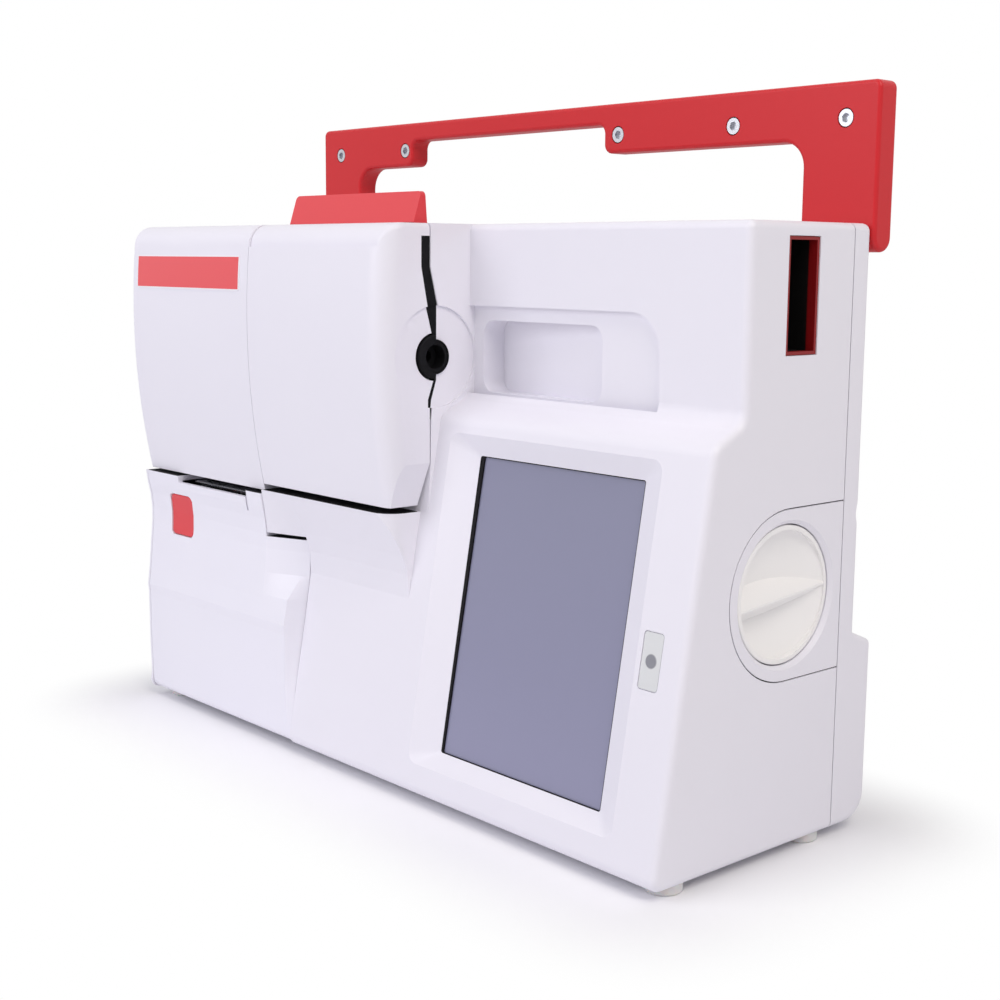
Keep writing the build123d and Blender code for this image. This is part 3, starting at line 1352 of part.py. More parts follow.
def make_bottle_knob():
    """A knob with a round hollow, deepest towards the case's front, and a wedge across it to turn it by."""
    r = bay_bore_r - knob_gap
    inner_r = r - knob_rim
    knob = turn_x([(collar_x1, 0), (collar_x1, bottle_r - 2), (knob_x0, bottle_r - 2), (knob_x0, r),
                   (knob_x1, r), (knob_x1, 0)])
    knob = fillet([e for e in knob.edges() if abs(e.center().X - knob_x1) < 0.01], 0.6)
    far = inner_r + bowl_shift
    rise = bowl_depth - bowl_edge
    ball_r = (rise ** 2 + far ** 2) / (2 * rise)
    ball = Pos(knob_x1 + ball_r - bowl_depth, bay_y - bowl_shift, bay_z) * Sphere(ball_r)
    knob -= ball & rod_x(bay_y, bay_z, inner_r, knob_x0, right + 1)
    slant = (0, cos(radians(grip_turn)), sin(radians(grip_turn)))
    foot = Plane(origin=(knob_x1 - 0.2 - grip_deep, bay_y, bay_z - grip_drop), x_dir=slant, z_dir=(1, 0, 0))
    base = foot * Rectangle(2 * r, 2 * grip_half)
    crest = foot.offset(grip_deep) * Rectangle(2 * r, 2 * grip_crest)
    grip = loft([base, crest], ruled=True)
    grip &= rod_x(bay_y, bay_z, inner_r + 0.2, knob_x0, knob_x1)
    return knob + grip


save("bottle_bay", make_bottle_bay())
save("bottle_regulator", make_bottle_regulator())
save("gas_bottle", make_gas_bottle())
save("bottle_collar", make_bottle_collar())
save("bottle_knob", make_bottle_knob())


# Paper door. Its front is given at the same heights at both ends of each ruled stretch.
door_levels = (door_low_top_z, 91.0, 80.0, 70.0, 58.5, 54.0, 28.0, door_hinge_z)
left_levels = (-55.4, -55.5, -56.6, -57.5, -58.9, -58.5, -58.4, door_front_y)
right_levels = (-48.3, -47.8, -48.4, -56.9, -58.9, -58.5, -58.4, door_front_y)
seam_proud = (3.4, 1.7, 0.3, 0.1)
seam_levels = tuple(slope_y(z) - proud for z, proud in zip(door_levels, seam_proud))
seam_levels += tuple(max(slope_y(z), y) for z, y in zip(door_levels[4:], right_levels[4:]))
door_lip = 2.43            # how far the door's edges reach behind the slope
step_wall_x = door_step_x - door_wall
exit_x0 = left + paper_left_gap - 2.0
exit_x1 = exit_x0 + paper_width + 4.0
exit_low_z = 113.3
button_x0 = left + button_left_gap
button_x1 = button_x0 + button_size


def door_back(top_z):
    """The rear line of the door from its top down to the hinge."""
    knee = toe_z + (door_back_y - door_lip - toe_y) / slope
    low = toe_z + (door_hinge_y - door_lip - toe_y) / slope
    return [(door_hinge_y, door_hinge_z), (door_hinge_y, low), (door_back_y, knee), (door_back_y, top_z)]


def door_section(x, front, top_z):
    return side_face(x, outline(list(front) + door_back(top_z)))


def door_blank(shift=0.0):
    """The door as a solid block, moved back by the shift."""
    tall = list(door_left_front) + [(door_front_y, door_hinge_z)]
    x_left = door_left_x
    blank = prism_x(outline(tall + door_back(door_top_z)), x_left, door_step_x)
    levels = [list(zip(ys, door_levels)) for ys in (left_levels, right_levels, seam_levels)]
    spans = (door_step_x, door_bevel_x, door_right_x)
    for i in range(2):
        near = door_section(spans[i], levels[i], door_low_top_z)
        far = door_section(spans[i + 1], levels[i + 1], door_low_top_z)
        blank += loft([near, far], ruled=True)
    blank += rod_x(door_hinge_y, door_hinge_z, door_heel_r, door_left_x, door_right_x)
    return Pos(0, shift, 0) * blank


def make_paper_door():
    door = door_blank()
    cavity = door_blank(door_wall)
    keep = block(door_left_x + door_wall, step_wall_x, -90, 0, floor_z, door_top_z - door_wall)
    keep += block(step_wall_x - 1, door_right_x - door_wall, -90, 0, floor_z, door_low_top_z - door_wall)
    keep -= rod_x(door_hinge_y, door_hinge_z, door_heel_r - 0.01, door_left_x, door_left_x + 3.3)
    keep -= rod_x(door_hinge_y, door_hinge_z, door_heel_r - 0.01, door_right_x - 3.1, door_right_x)
    door -= cavity & keep
    pad = block(head_x0, head_x1, -56.0, head_back_y, head_z0, head_z1)
    door += pad & door_blank(0.5)
    gap = seam
    opening = plate(button_x0 - gap, button_x1 + gap, button_mid_z - button_size / 2 - gap,
                    button_mid_z + button_size / 2 + gap, 3.0)
    door -= prism_y(opening, -70, button_flange_y)
    reach = button_size / 2 + 1.5
    door -= block(button_x0 - 1.5, button_x1 + 1.5, button_flange_y - 0.4, -49, button_mid_z - reach,
                  button_mid_z + reach)
    door -= block(exit_x0, exit_x1, -70, -30, exit_low_z, door_top_z + 1)
    door -= block(exit_x1 - 1.2, exit_x1, -70, -50, exit_low_z - 6.3, exit_low_z + 1)
    door -= rod_x(door_hinge_y, door_hinge_z, door_pin_r + fit, door_left_x - 1, door_left_x + 3.4)
    door -= rod_x(door_hinge_y, door_hinge_z, door_pin_r + fit, door_right_x - 3.2, door_right_x + 1)
    return door


# Printer inside the door
head_x0 = left + 42.5
head_x1 = head_x0 + print_width
head_z0 = 97.0
head_z1 = 108.0
head_back_y = -52.6
head_front_y = platen_y - platen_r - 0.3
button_flange_y = -52.9
button_flange = 1.0
gear_distance = gear_module * (platen_teeth + pinion_teeth) / 2
pinion_y = platen_y + gear_distance * cos(radians(gear_angle))
pinion_z = platen_z - gear_distance * sin(radians(gear_angle))
plate_x0 = left + paper_left_gap - 3.5
plate_x1 = left + paper_left_gap + paper_width + 2.0
gear_x0 = plate_x1 + printer_plate + 1.0
gear_x1 = gear_x0 + gear_width
motor_x0 = plate_x1 - motor_length
web_top_z = bay_top_z - bay_wall
web_front_y = platen_y + 4.5
frame_rear_y = -22.0
roll_x0 = left + paper_left_gap
roll_x1 = roll_x0 + paper_width


def make_door_button():
    z0 = button_mid_z - button_size / 2
    z1 = button_mid_z + button_size / 2
    face = plate(button_x0, button_x1, z0, z1, 3.0)
    button = prism_y(face, -58.0, button_flange_y)
    hollow = Pos(0, 0.6, 0) * door_blank()
    button &= Pos(0, -0.3, 0) * hollow
    button = fillet([e for e in button.edges() if e.center().Y < -54.5], 0.6)
    flange = prism_y(plate(button_x0 - 1.2, button_x1 + 1.2, z0 - 1.2, z1 + 1.2, 3.0), button_flange_y,
                     button_flange_y + button_flange)
    return button + flange


def make_print_head():
    head = block(head_x0, head_x1, head_back_y, head_front_y - 0.9, head_z0, head_z1)
    head += block(head_x0 + 1, head_x1 - 1, head_front_y - 1, head_front_y, platen_z - 2.5, platen_z + 2.5)
    for i in range(7):
        x = head_x0 + 5 + 6 * i
        head += block(x - 1, x + 1, head_back_y, head_back_y + 1.2, head_z0 - 4, head_z0)
    return head


save("paper_door", make_paper_door())
save("door_button", make_door_button())
save("print_head", make_print_head())


def make_paper_bay():
    points = [(bay_back_y, floor_z), (bay_back_y, bay_top_z), (-41.2, bay_top_z), (-41.2, 92.0),
              (-49.0, 45.0), (-49.0, floor_z)]
    bay = prism_x(outline(points), left + wall + seam, door_seam_x)
    room = [(bay_back_y - bay_wall, floor_z + bay_wall), (bay_back_y - bay_wall, web_top_z),
            (-90, web_top_z), (-90, floor_z + bay_wall)]
    bay -= prism_x(outline(room), left + wall + seam + bay_wall, door_seam_x - bay_wall)
    bay -= block(split_x - 1.5, door_seam_x + 1, -60, slope_y(lip_top_z) + wall + seam,
                 door_low_top_z + 1.2, bay_top_z + 1)
    for x in (roll_x0 - 4.0, roll_x1 + 2.0):
        arm = block(x, x + 2.0, paper_y - 7, bay_back_y - 1, paper_z - 7, paper_z + 7)
        arm += rod_x(paper_y, paper_z, 8.5, x, x + 2.0)
        bay += arm
        bay -= rod_x(paper_y, paper_z, 3.0 + fit, x - 1, x + 3.0)
    return bay


def make_paper_spindle():
    x0 = roll_x0 - 2.0
    x1 = roll_x1 + 2.0
    spindle = rod_x(paper_y, paper_z, spindle_r - fit, x0, x1)
    return spindle + rod_x(paper_y, paper_z, 3.0, x0 - 2.0, x1 + 2.0)


def make_roll_core():
    core = rod_x(paper_y, paper_z, paper_core_r, roll_x0, roll_x1)
    return core - rod_x(paper_y, paper_z, spindle_r + fit, roll_x0 - 1, roll_x1 + 1)


def make_paper_roll():
    roll = rod_x(paper_y, paper_z, paper_roll_r, roll_x0, roll_x1)
    return roll - rod_x(paper_y, paper_z, paper_core_r, roll_x0 - 1, roll_x1 + 1)


def make_printer_frame():
    frame = block(plate_x0, plate_x1 + printer_plate, web_front_y, frame_rear_y, web_top_z - printer_plate,
                  web_top_z)
    low = platen_z - 6.5
    for x in (plate_x0, plate_x1):
        side = block(x, x + printer_plate, platen_y - 4.5, frame_rear_y, low, web_top_z)
        frame += side
        frame -= rod_x(platen_y, platen_z, platen_shaft_r + fit, x - 1, x + printer_plate + 1)
    frame += block(plate_x1, plate_x1 + printer_plate, pinion_y - motor_r, frame_rear_y, pinion_z - motor_r,
                   low + 1)
    return frame - rod_x(pinion_y, pinion_z, 2.0, plate_x1 - 1, plate_x1 + printer_plate + 1)


def gear(teeth, x0, x1, turn):
    """A spur gear about X: an outline of tapered teeth on a root circle."""
    pitch_r = gear_module * teeth / 2
    root_r = pitch_r - 1.25 * gear_module
    tip_r = pitch_r + 0.95 * gear_module
    points = []
    for i in range(teeth):
        middle = 360.0 / teeth * i + turn
        for r, half in ((root_r, 0.33), (pitch_r, 0.235), (tip_r, 0.11)):
            points.append((r, middle - 360.0 / teeth * half))
        for r, half in ((tip_r, 0.11), (pitch_r, 0.235), (root_r, 0.33)):
            points.append((r, middle + 360.0 / teeth * half))
    face = outline([(r * cos(radians(a)), r * sin(radians(a))) for r, a in points])
    return prism_x(face, x0, x1)


def make_platen_gear():
    wheel = Pos(0, platen_y, platen_z) * gear(platen_teeth, gear_x0, gear_x1, -gear_angle)
    return wheel - rod_x(platen_y, platen_z, platen_shaft_r, gear_x0 - 1, gear_x1 + 1)


def make_platen_roller():
    roller = rod_x(platen_y, platen_z, platen_r, roll_x0 - 1.0, roll_x1 + 1.0)
    return roller + rod_x(platen_y, platen_z, platen_shaft_r, plate_x0 - 0.5, gear_x1)


def make_motor_pinion():
    turn = 180.0 - gear_angle + 180.0 / pinion_teeth
    pinion = Pos(0, pinion_y, pinion_z) * gear(pinion_teeth, gear_x0, gear_x1, turn)
    return pinion + rod_x(pinion_y, pinion_z, 1.0, plate_x1 - 5, gear_x0 + 1)


def make_stepper_motor():
    motor = rod_x(pinion_y, pinion_z, motor_r, motor_x0, plate_x1)
    motor += rod_x(pinion_y, pinion_z, 1.9, plate_x1 - 1, plate_x1 + 1)
    motor += rod_x(pinion_y, pinion_z, 2.5, motor_x0 - 1, motor_x0 + 1)
    return motor - rod_x(pinion_y, pinion_z, 1.0 + fit, plate_x1 - 6, plate_x1 + 2)


def make_tear_bar():
    """A thin strip with a toothed front edge, lying on the bay's roof."""
    x0 = exit_x0 + 0.5
    x1 = exit_x1 - 0.5
    count = 30
    step = (x1 - x0) / count
    points = [(x0, -37.0), (x1, -37.0)]
    for i in range(count):
        points.append((x1 - i * step, -48.2))
        points.append((x1 - (i + 0.5) * step, -49.2))
    points.append((x0, -48.2))
    return prism_z(outline(points), bay_top_z, bay_top_z + 0.6)


save("paper_bay", make_paper_bay())
save("paper_spindle", make_paper_spindle())
save("roll_core", make_roll_core())
save("paper_roll", make_paper_roll())
save("printer_frame", make_printer_frame())
save("platen_roller", make_platen_roller())
save("platen_gear", make_platen_gear())
save("motor_pinion", make_motor_pinion())
save("stepper_motor", make_stepper_motor())
save("tear_bar", make_tear_bar())
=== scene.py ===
# %% [markdown]
# # A bench blood gas analyzer
#
# The analyzer is a white moulded case. Two bowed covers stand on its left, over a paper door. A display
# sits in its sloped front, a gas bottle behind a round knob in its right side, and a red handle folds over
# its back. The imported CAD model holds all of these as solids. This script dresses them: first the camera
# and the light, then one material for each real finish, and last the small pieces that the solids leave out,
# with black strips that paint the shade in the seams.

# %% Load the imported model
import bmesh
import bpy
import json
from math import cos, pi, radians, sin
from mathutils import Matrix, Vector


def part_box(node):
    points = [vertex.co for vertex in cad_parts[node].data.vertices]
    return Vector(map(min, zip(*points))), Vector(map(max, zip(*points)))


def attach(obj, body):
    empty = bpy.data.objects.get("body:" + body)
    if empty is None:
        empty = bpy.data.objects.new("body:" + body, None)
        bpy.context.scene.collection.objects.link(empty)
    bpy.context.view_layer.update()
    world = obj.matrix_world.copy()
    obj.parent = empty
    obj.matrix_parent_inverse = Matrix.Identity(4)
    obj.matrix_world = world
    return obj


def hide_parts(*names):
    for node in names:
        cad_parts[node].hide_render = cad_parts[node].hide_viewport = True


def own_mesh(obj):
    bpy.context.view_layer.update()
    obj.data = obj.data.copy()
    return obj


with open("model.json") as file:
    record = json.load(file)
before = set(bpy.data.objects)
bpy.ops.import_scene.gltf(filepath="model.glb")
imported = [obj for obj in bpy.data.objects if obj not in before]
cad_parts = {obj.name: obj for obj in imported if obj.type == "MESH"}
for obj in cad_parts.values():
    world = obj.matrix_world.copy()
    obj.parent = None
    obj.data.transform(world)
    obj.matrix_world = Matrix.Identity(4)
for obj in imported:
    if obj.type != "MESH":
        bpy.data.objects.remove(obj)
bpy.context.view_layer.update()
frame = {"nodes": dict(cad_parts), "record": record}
nodes = frame["nodes"]

# %% [markdown]
# ## Lengths
#
# Blender works in metres, but an instrument is drawn in millimetres. One helper turns a point in
# millimetres into a Blender vector. A second one places a point on the sloped front, because the display,
# its seal and the status window are all drawn on that slope: x runs along it, s up it, depth into it.

# %% Points in millimetres
MM = 0.001


def at(x, y, z):
    """A point given in millimetres."""
    return Vector((x, y, z)) * MM


slope_foot = at(0, -58.7, 8.5)
slope_head = at(0, -32.8, 158.8)
slope_up = (slope_head - slope_foot).normalized()
slope_out = Vector((0, -slope_up.z, slope_up.y))


def on_slope(x, s, depth=0.0):
    """A point s up the sloped front from its foot, and that deep behind it."""
    return slope_foot + slope_up * (s * MM) - slope_out * (depth * MM) + Vector((x * MM, 0, 0))


print("the front leans back", round(slope_up.angle(Vector((0, 0, 1))) * 180 / pi, 2), "degrees")

# %% [markdown]
# ## The camera
#
# The photograph was taken from the right of the analyzer, a little above its display. Its place and turn
# were solved from the long edges of the case. Three turns are written out as one matrix product, from
# right to left: a small roll about the view, a tilt up from looking straight down, and a turn about Z.

# %% Make the camera
camera_data = bpy.data.cameras.new("camera")
camera_data.lens = 55.64
camera_data.sensor_width = 36.0
camera_data.clip_start = 0.01
camera = bpy.data.objects.new("camera", camera_data)
camera_turn = (Matrix.Rotation(radians(48.27), 4, "Z") @ Matrix.Rotation(radians(90 - 8.82), 4, "X")
               @ Matrix.Rotation(radians(0.479), 4, "Z"))
camera.matrix_world = Matrix.Translation(at(518.2, -438.0, 221.9)) @ camera_turn
bpy.context.scene.collection.objects.link(camera)
bpy.context.scene.camera = camera
bpy.context.scene.view_settings.view_transform = "Standard"
print("camera stands", round(camera.matrix_world.translation.length, 3), "m from the origin")

# %% [markdown]
# ## Colours and nodes
#
# A colour read off a screen is sRGB, while shaders work with linear light, so one function turns a hex
# value into linear numbers. One more function adds any node with its settings and its inputs. An input is
# either a plain value or the output socket that feeds it, which keeps each material down to a few lines.

# %% Colour and node helpers
def linear(hex_colour):
    """An sRGB hex colour as linear red, green, blue and alpha."""
    parts = [int(hex_colour[i:i + 2], 16) / 255 for i in (1, 3, 5)]
    return (*[c / 12.92 if c <= 0.04045 else ((c + 0.055) / 1.055) ** 2.4 for c in parts], 1.0)


def add_node(tree, kind, settings=None, inputs=None):
    """Add one node. Each input gets a value, or a link from the socket given for it."""
    node = tree.nodes.new(kind)
    for name, value in (settings or {}).items():
        setattr(node, name, value)
    for name, value in (inputs or {}).items():
        if isinstance(value, bpy.types.NodeSocket):
            tree.links.new(value, node.inputs[name])
        else:
            node.inputs[name].default_value = value
    return node


def per_mm(size):
    """The texture scale at which one cell of a pattern is that many millimetres wide."""
    return 1000.0 / size


print("white is", [round(c, 3) for c in linear("#FFFFFF")], "and mid grey", round(linear("#808080")[0], 3))

# %% [markdown]
# ## The studio
#
# The object stands on a white sweep under soft light. Bright white paper could be lit until it clips, but
# then the case would clip too. Instead the world is white only for rays that come from the camera, from
# gloss or through glass, and dimmer for the light that it sheds. The floor is real white paper near the
# case, so it keeps the shadow. It fades to plain white by the distance from a rectangle just inside the
# case's outline, over a hand's breadth, so no horizon shows.

# %% Light the world
world = bpy.data.worlds.new("studio")
bpy.context.scene.world = world
world.use_nodes = True
tree = world.node_tree
tree.nodes.clear()
rays = add_node(tree, "ShaderNodeLightPath")
seen = add_node(tree, "ShaderNodeMath", {"operation": "MAXIMUM"},
                {0: rays.outputs["Is Camera Ray"], 1: rays.outputs["Is Glossy Ray"]})
seen = add_node(tree, "ShaderNodeMath", {"operation": "MAXIMUM"},
                {0: seen.outputs[0], 1: rays.outputs["Is Transmission Ray"]})
shed = add_node(tree, "ShaderNodeBackground", inputs={"Color": linear("#FBFAFC"), "Strength": 0.38})
shown = add_node(tree, "ShaderNodeBackground", inputs={"Color": linear("#FFFFFF"), "Strength": 1.0})
mixed = add_node(tree, "ShaderNodeMixShader", inputs={
    0: seen.outputs[0], 1: shed.outputs[0], 2: shown.outputs[0]})
add_node(tree, "ShaderNodeOutputWorld", inputs={"Surface": mixed.outputs[0]})
print("world nodes:", len(tree.nodes))

# %% Lay the floor
floor_half = 4.0                    # metres from its middle to its edges
fade_box = at(165, 55, 0)           # half sizes of a rectangle about 10 mm inside the case's outline
fade_from = 5 * MM                  # the paper is whole up to this distance from the rectangle
fade_to = 75 * MM                   # and plain white from this one on

floor_mesh = bpy.data.meshes.new("floor")
floor_corners = [(x * floor_half, y * floor_half, 0) for x, y in ((-1, -1), (1, -1), (1, 1), (-1, 1))]
floor_mesh.from_pydata(floor_corners, [], [(0, 1, 2, 3)])
floor = bpy.data.objects.new("floor", floor_mesh)
bpy.context.scene.collection.objects.link(floor)
sweep = bpy.data.materials.new("white_paper_sweep")
sweep.use_nodes = True
tree = sweep.node_tree
tree.nodes.clear()
place = add_node(tree, "ShaderNodeTexCoord")
side = add_node(tree, "ShaderNodeVectorMath", {"operation": "ABSOLUTE"}, {0: place.outputs["Object"]})
past = add_node(tree, "ShaderNodeVectorMath", {"operation": "SUBTRACT"},
                {0: side.outputs[0], 1: fade_box})
past = add_node(tree, "ShaderNodeVectorMath", {"operation": "MAXIMUM"},
                {0: past.outputs[0], 1: (0.0, 0.0, 0.0)})
away = add_node(tree, "ShaderNodeVectorMath", {"operation": "LENGTH"}, {0: past.outputs[0]})
fade = add_node(tree, "ShaderNodeMapRange", {"interpolation_type": "SMOOTHSTEP"},
                {"Value": away.outputs["Value"], "From Min": fade_from, "From Max": fade_to})
rays = add_node(tree, "ShaderNodeLightPath")
share = add_node(tree, "ShaderNodeMath", {"operation": "MULTIPLY"},
                 {0: fade.outputs[0], 1: rays.outputs["Is Camera Ray"]})
paper = add_node(tree, "ShaderNodeBsdfDiffuse", inputs={"Color": linear("#FAFAFD")})
plain = add_node(tree, "ShaderNodeEmission", inputs={"Color": linear("#FFFFFF"), "Strength": 1.0})
mixed = add_node(tree, "ShaderNodeMixShader", inputs={
    0: share.outputs[0], 1: paper.outputs[0], 2: plain.outputs[0]})
add_node(tree, "ShaderNodeOutputMaterial", inputs={"Surface": mixed.outputs[0]})
floor_mesh.materials.append(sweep)
print("floor is", floor.dimensions.x, "m wide")

# %% [markdown]
# Three soft boxes do the rest. A weak one overhead opens the ledge and the tops, and the one in front on the
# left models the bowed covers. The one high on the right lights the side from above, so that what faces up
# there is bright and what faces down is in shade. That is what makes the hollow of the knob readable.

# %% Hang the soft boxes
def softbox(name, place, size, power, colour):
    """A square lamp that faces the middle of the case."""
    data = bpy.data.lights.new(name, "AREA")
    data.size = size
    data.energy = power
    data.color = linear(colour)[:3]
    lamp = bpy.data.objects.new(name, data)
    lamp.location = place
    lamp.rotation_euler = (at(0, 0, 130) - place).to_track_quat("-Z", "Y").to_euler()
    bpy.context.scene.collection.objects.link(lamp)


softbox("overhead", at(0, -250, 1450), 1.2, 2.0, "#FBFAFF")
softbox("front_left", at(-500, -1400, 900), 1.0, 10.0, "#F8F7FF")
softbox("high_right", at(1000, -250, 1150), 0.7, 7.5, "#FFF9F2")

# %% [markdown]
# ## Finishes
#
# Each solid names a slot in the record, such as the case or the handle. A finish is made once and given
# to every solid of its slot. Numbers that are the same all over the surface are set on the shader's own
# sockets. Only what varies over the surface comes through nodes.

# %% Give a finish to a slot
slot_solids = {}
for part in frame["record"]["subparts"]:
    slot_solids.setdefault(part["material_slot"], []).append(nodes[part["node"]])


def start_finish(name, slot, constants):
    """A new material on every solid of one slot, with its constants set on the shader."""
    material = bpy.data.materials.new(name)
    material.use_nodes = True
    shader = material.node_tree.nodes["Principled BSDF"]
    for socket, value in constants.items():
        shader.inputs[socket].default_value = value
    for solid in slot_solids[slot]:
        for place in solid.material_slots:
            place.material = material
    return material, material.node_tree, shader


print("slots:", {slot: len(solids) for slot, solids in slot_solids.items()})

# %% [markdown]
# ### Moulded plastic
#
# The case, covers and door are ABS, injection moulded in a tool whose face was etched to a fine grain. The
# eye sees an even, slightly cool white that is neither matt nor glossy: broad soft highlights, and no
# mirror image. The true grain is about 0.1 mm. It is drawn 0.7 mm wide and very shallow here, because a
# finer one would vanish in the picture. A slow drift of tone stands for the flow of the plastic.

# %% Moulded plastics
def moulded(name, slot, colour, drift, rough, grain=0.7, relief=0.006, constants=None):
    """A moulded plastic: a tone that drifts slowly, and the mould's grain in its gloss and relief."""
    material, tree, shader = start_finish(name, slot, {"IOR": 1.53, **(constants or {})})
    place = add_node(tree, "ShaderNodeTexCoord")
    slow = add_node(tree, "ShaderNodeTexNoise", inputs={
        "Vector": place.outputs["Object"], "Scale": per_mm(110.0), "Detail": 2.0})
    tone = add_node(tree, "ShaderNodeMix", {"data_type": "RGBA"},
                    {0: slow.outputs[0], 6: linear(colour), 7: linear(drift)})
    fine = add_node(tree, "ShaderNodeTexNoise", inputs={
        "Vector": place.outputs["Object"], "Scale": per_mm(grain), "Detail": 3.0})
    gloss = add_node(tree, "ShaderNodeMapRange", inputs={
        "Value": fine.outputs[0], "To Min": rough - 0.05, "To Max": rough + 0.05})
    bump = add_node(tree, "ShaderNodeBump", inputs={
        "Height": fine.outputs[0], "Distance": relief * MM, "Strength": 1.0})
    tree.links.new(tone.outputs[2], shader.inputs["Base Color"])
    tree.links.new(gloss.outputs[0], shader.inputs["Roughness"])
    tree.links.new(bump.outputs[0], shader.inputs["Normal"])
    return material


moulded("moulded_white_abs", "case", "#F0EEF6", "#ECEAF3", 0.46)
moulded("moulded_white_abs_door", "door", "#F3F2FA", "#EFEDF8", 0.46)
moulded("polished_white_abs_knob", "knob", "#FAF9F9", "#F6F4F3", 0.30, relief=0.002)
moulded("grey_abs", "grey_plastic", "#8E9098", "#878992", 0.50)
moulded("black_abs", "black_plastic", "#1D1D20", "#18181B", 0.48)
moulded("natural_nylon", "nylon", "#EEEBE0", "#E7E3D6", 0.45)
moulded("shrink_wrapped_cells", "battery", "#333842", "#2D323B", 0.36)
moulded("painted_motor_can", "motor", "#43454A", "#3C3E43", 0.40)
print("moulded finishes:", len(bpy.data.materials))

# %% [markdown]
# ### Red plastic
#
# The handle is satin red ABS, a shade darker than the latch and the button, which are brighter and a little
# glossier. Red plastic takes its colour from pigment right through, so its highlight stays white. The same
# moulded finish serves, with a finer relief and a weaker mirror, which keeps the shaded faces a deep red.
#
# The reader's slot has a throat of the same red, only 4 mm deep, and is painted near black behind it for the
# shade deep in the slot. One finish with a map from the depth to two colours shows both: X runs out to the
# mouth.

# %% Red plastics
moulded("satin_red_abs_handle", "handle_red", "#D2262D", "#CD232A", 0.38, relief=0.004,
        constants={"Specular IOR Level": 0.28})
moulded("satin_red_abs_latch", "accent_red", "#E4434A", "#E03E45", 0.36, relief=0.004,
        constants={"Specular IOR Level": 0.4})
liner = moulded("dark_red_liner_abs_painted_shade", "liner_red", "#8E060C", "#84050A", 0.46)
tree = liner.node_tree
shader = tree.nodes["Principled BSDF"]
red_tone = shader.inputs["Base Color"].links[0].from_socket
place = add_node(tree, "ShaderNodeTexCoord")
parts = add_node(tree, "ShaderNodeSeparateXYZ", inputs={0: place.outputs["Object"]})
# painted shade: deeper than the throat, the slot's red turns near black
depth = add_node(tree, "ShaderNodeMapRange", inputs={
    "Value": parts.outputs["X"], "From Min": 170.7 * MM, "From Max": 171.2 * MM})
tone = add_node(tree, "ShaderNodeMix", {"data_type": "RGBA"},
                {0: depth.outputs[0], 6: linear("#070506"), 7: red_tone})
tree.links.new(tone.outputs[2], shader.inputs["Base Color"])
print("red finishes:", [m.name for m in bpy.data.materials if "red" in m.name])

# %% [markdown]
# ### Rubber
#
# The seal round the sample port and the platen are EPDM rubber. It is nearly black and dull, and its
# highlight is wide and weak. A noise of 1.2 mm breaks the gloss up as handling does. The feet are clear
# silicone rubber with a little white in it, so light soaks in a short way and they never look quite solid.

# %% Rubber
rubber = moulded("epdm_rubber", "black_rubber", "#09090C", "#0E0E11", 0.66, grain=1.2, relief=0.02,
                 constants={"Specular IOR Level": 0.15})
moulded("translucent_silicone_feet", "foot_rubber", "#E2E0DF", "#D9D7D6", 0.55, grain=1.2, relief=0.01,
        constants={"Subsurface Weight": 0.3, "Subsurface Scale": 2.0 * MM})
print("rubber on", [o.name for o in slot_solids["black_rubber"] + slot_solids["foot_rubber"]])

# %% [markdown]
# ### The touch film
#
# The display is off. Its hard-coated touch film looks grey violet and satin, because a fine etch on its
# face scatters reflections. A painted reflection makes it slowly lighter from the top to the bottom: a map
# from the height to two colours. A coat adds the weak, sharper gloss of the film's skin.

# %% Touch film
_, tree, shader = start_finish("hard_coated_touch_film", "glass", {
    "IOR": 1.49, "Coat Weight": 0.25, "Coat Roughness": 0.16})
place = add_node(tree, "ShaderNodeTexCoord")
parts = add_node(tree, "ShaderNodeSeparateXYZ", inputs={0: place.outputs["Object"]})
# painted reflection: the film is lighter towards its bottom and darker towards its top
painted_reflection_height = add_node(tree, "ShaderNodeMapRange", inputs={
    "Value": parts.outputs["Z"], "From Min": 24 * MM, "From Max": 146 * MM})
tone = add_node(tree, "ShaderNodeMix", {"data_type": "RGBA"},
                {0: painted_reflection_height.outputs[0], 6: linear("#8F8FAB"), 7: linear("#84859E")})
etch = add_node(tree, "ShaderNodeTexNoise", inputs={
    "Vector": place.outputs["Object"], "Scale": per_mm(0.8), "Detail": 2.0})
gloss = add_node(tree, "ShaderNodeMapRange", inputs={
    "Value": etch.outputs[0], "To Min": 0.26, "To Max": 0.34})
bump = add_node(tree, "ShaderNodeBump", inputs={
    "Height": etch.outputs[0], "Distance": 0.002 * MM, "Strength": 1.0})
tree.links.new(tone.outputs[2], shader.inputs["Base Color"])
tree.links.new(gloss.outputs[0], shader.inputs["Roughness"])
tree.links.new(bump.outputs[0], shader.inputs["Normal"])
print("film nodes:", len(tree.nodes))

# %% [markdown]
# ### The label and the status window
#
# The label is a printed film: red ink under a clear skin, with a thin unprinted white edge. The edge could
# be a separate ring, but on the real label it is only missing ink, so it is drawn by distance: where a
# point is nearer to the label's rim than the edge's width, it is white. The status window is a pale
# polished pane with a round grey sensor, drawn the same way by its distance from the sensor's middle.

# %% Printed label film
label_low, label_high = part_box("label_plate")
label_middle = (label_low + label_high) / 2
label_reach = (label_high - label_low) / 2
label_edge = 0.6 * MM
_, tree, shader = start_finish("printed_label_film", "label", {
    "IOR": 1.50, "Roughness": 0.38, "Coat Weight": 0.2, "Coat Roughness": 0.2})
place = add_node(tree, "ShaderNodeTexCoord")
offset = add_node(tree, "ShaderNodeVectorMath", {"operation": "SUBTRACT"},
                  {0: place.outputs["Object"], 1: label_middle})
reach = add_node(tree, "ShaderNodeVectorMath", {"operation": "ABSOLUTE"}, {0: offset.outputs[0]})
past = add_node(tree, "ShaderNodeVectorMath", {"operation": "SUBTRACT"},
                {0: reach.outputs[0], 1: (label_reach.x - label_edge, 1.0, label_reach.z - label_edge)})
parts = add_node(tree, "ShaderNodeSeparateXYZ", inputs={0: past.outputs[0]})
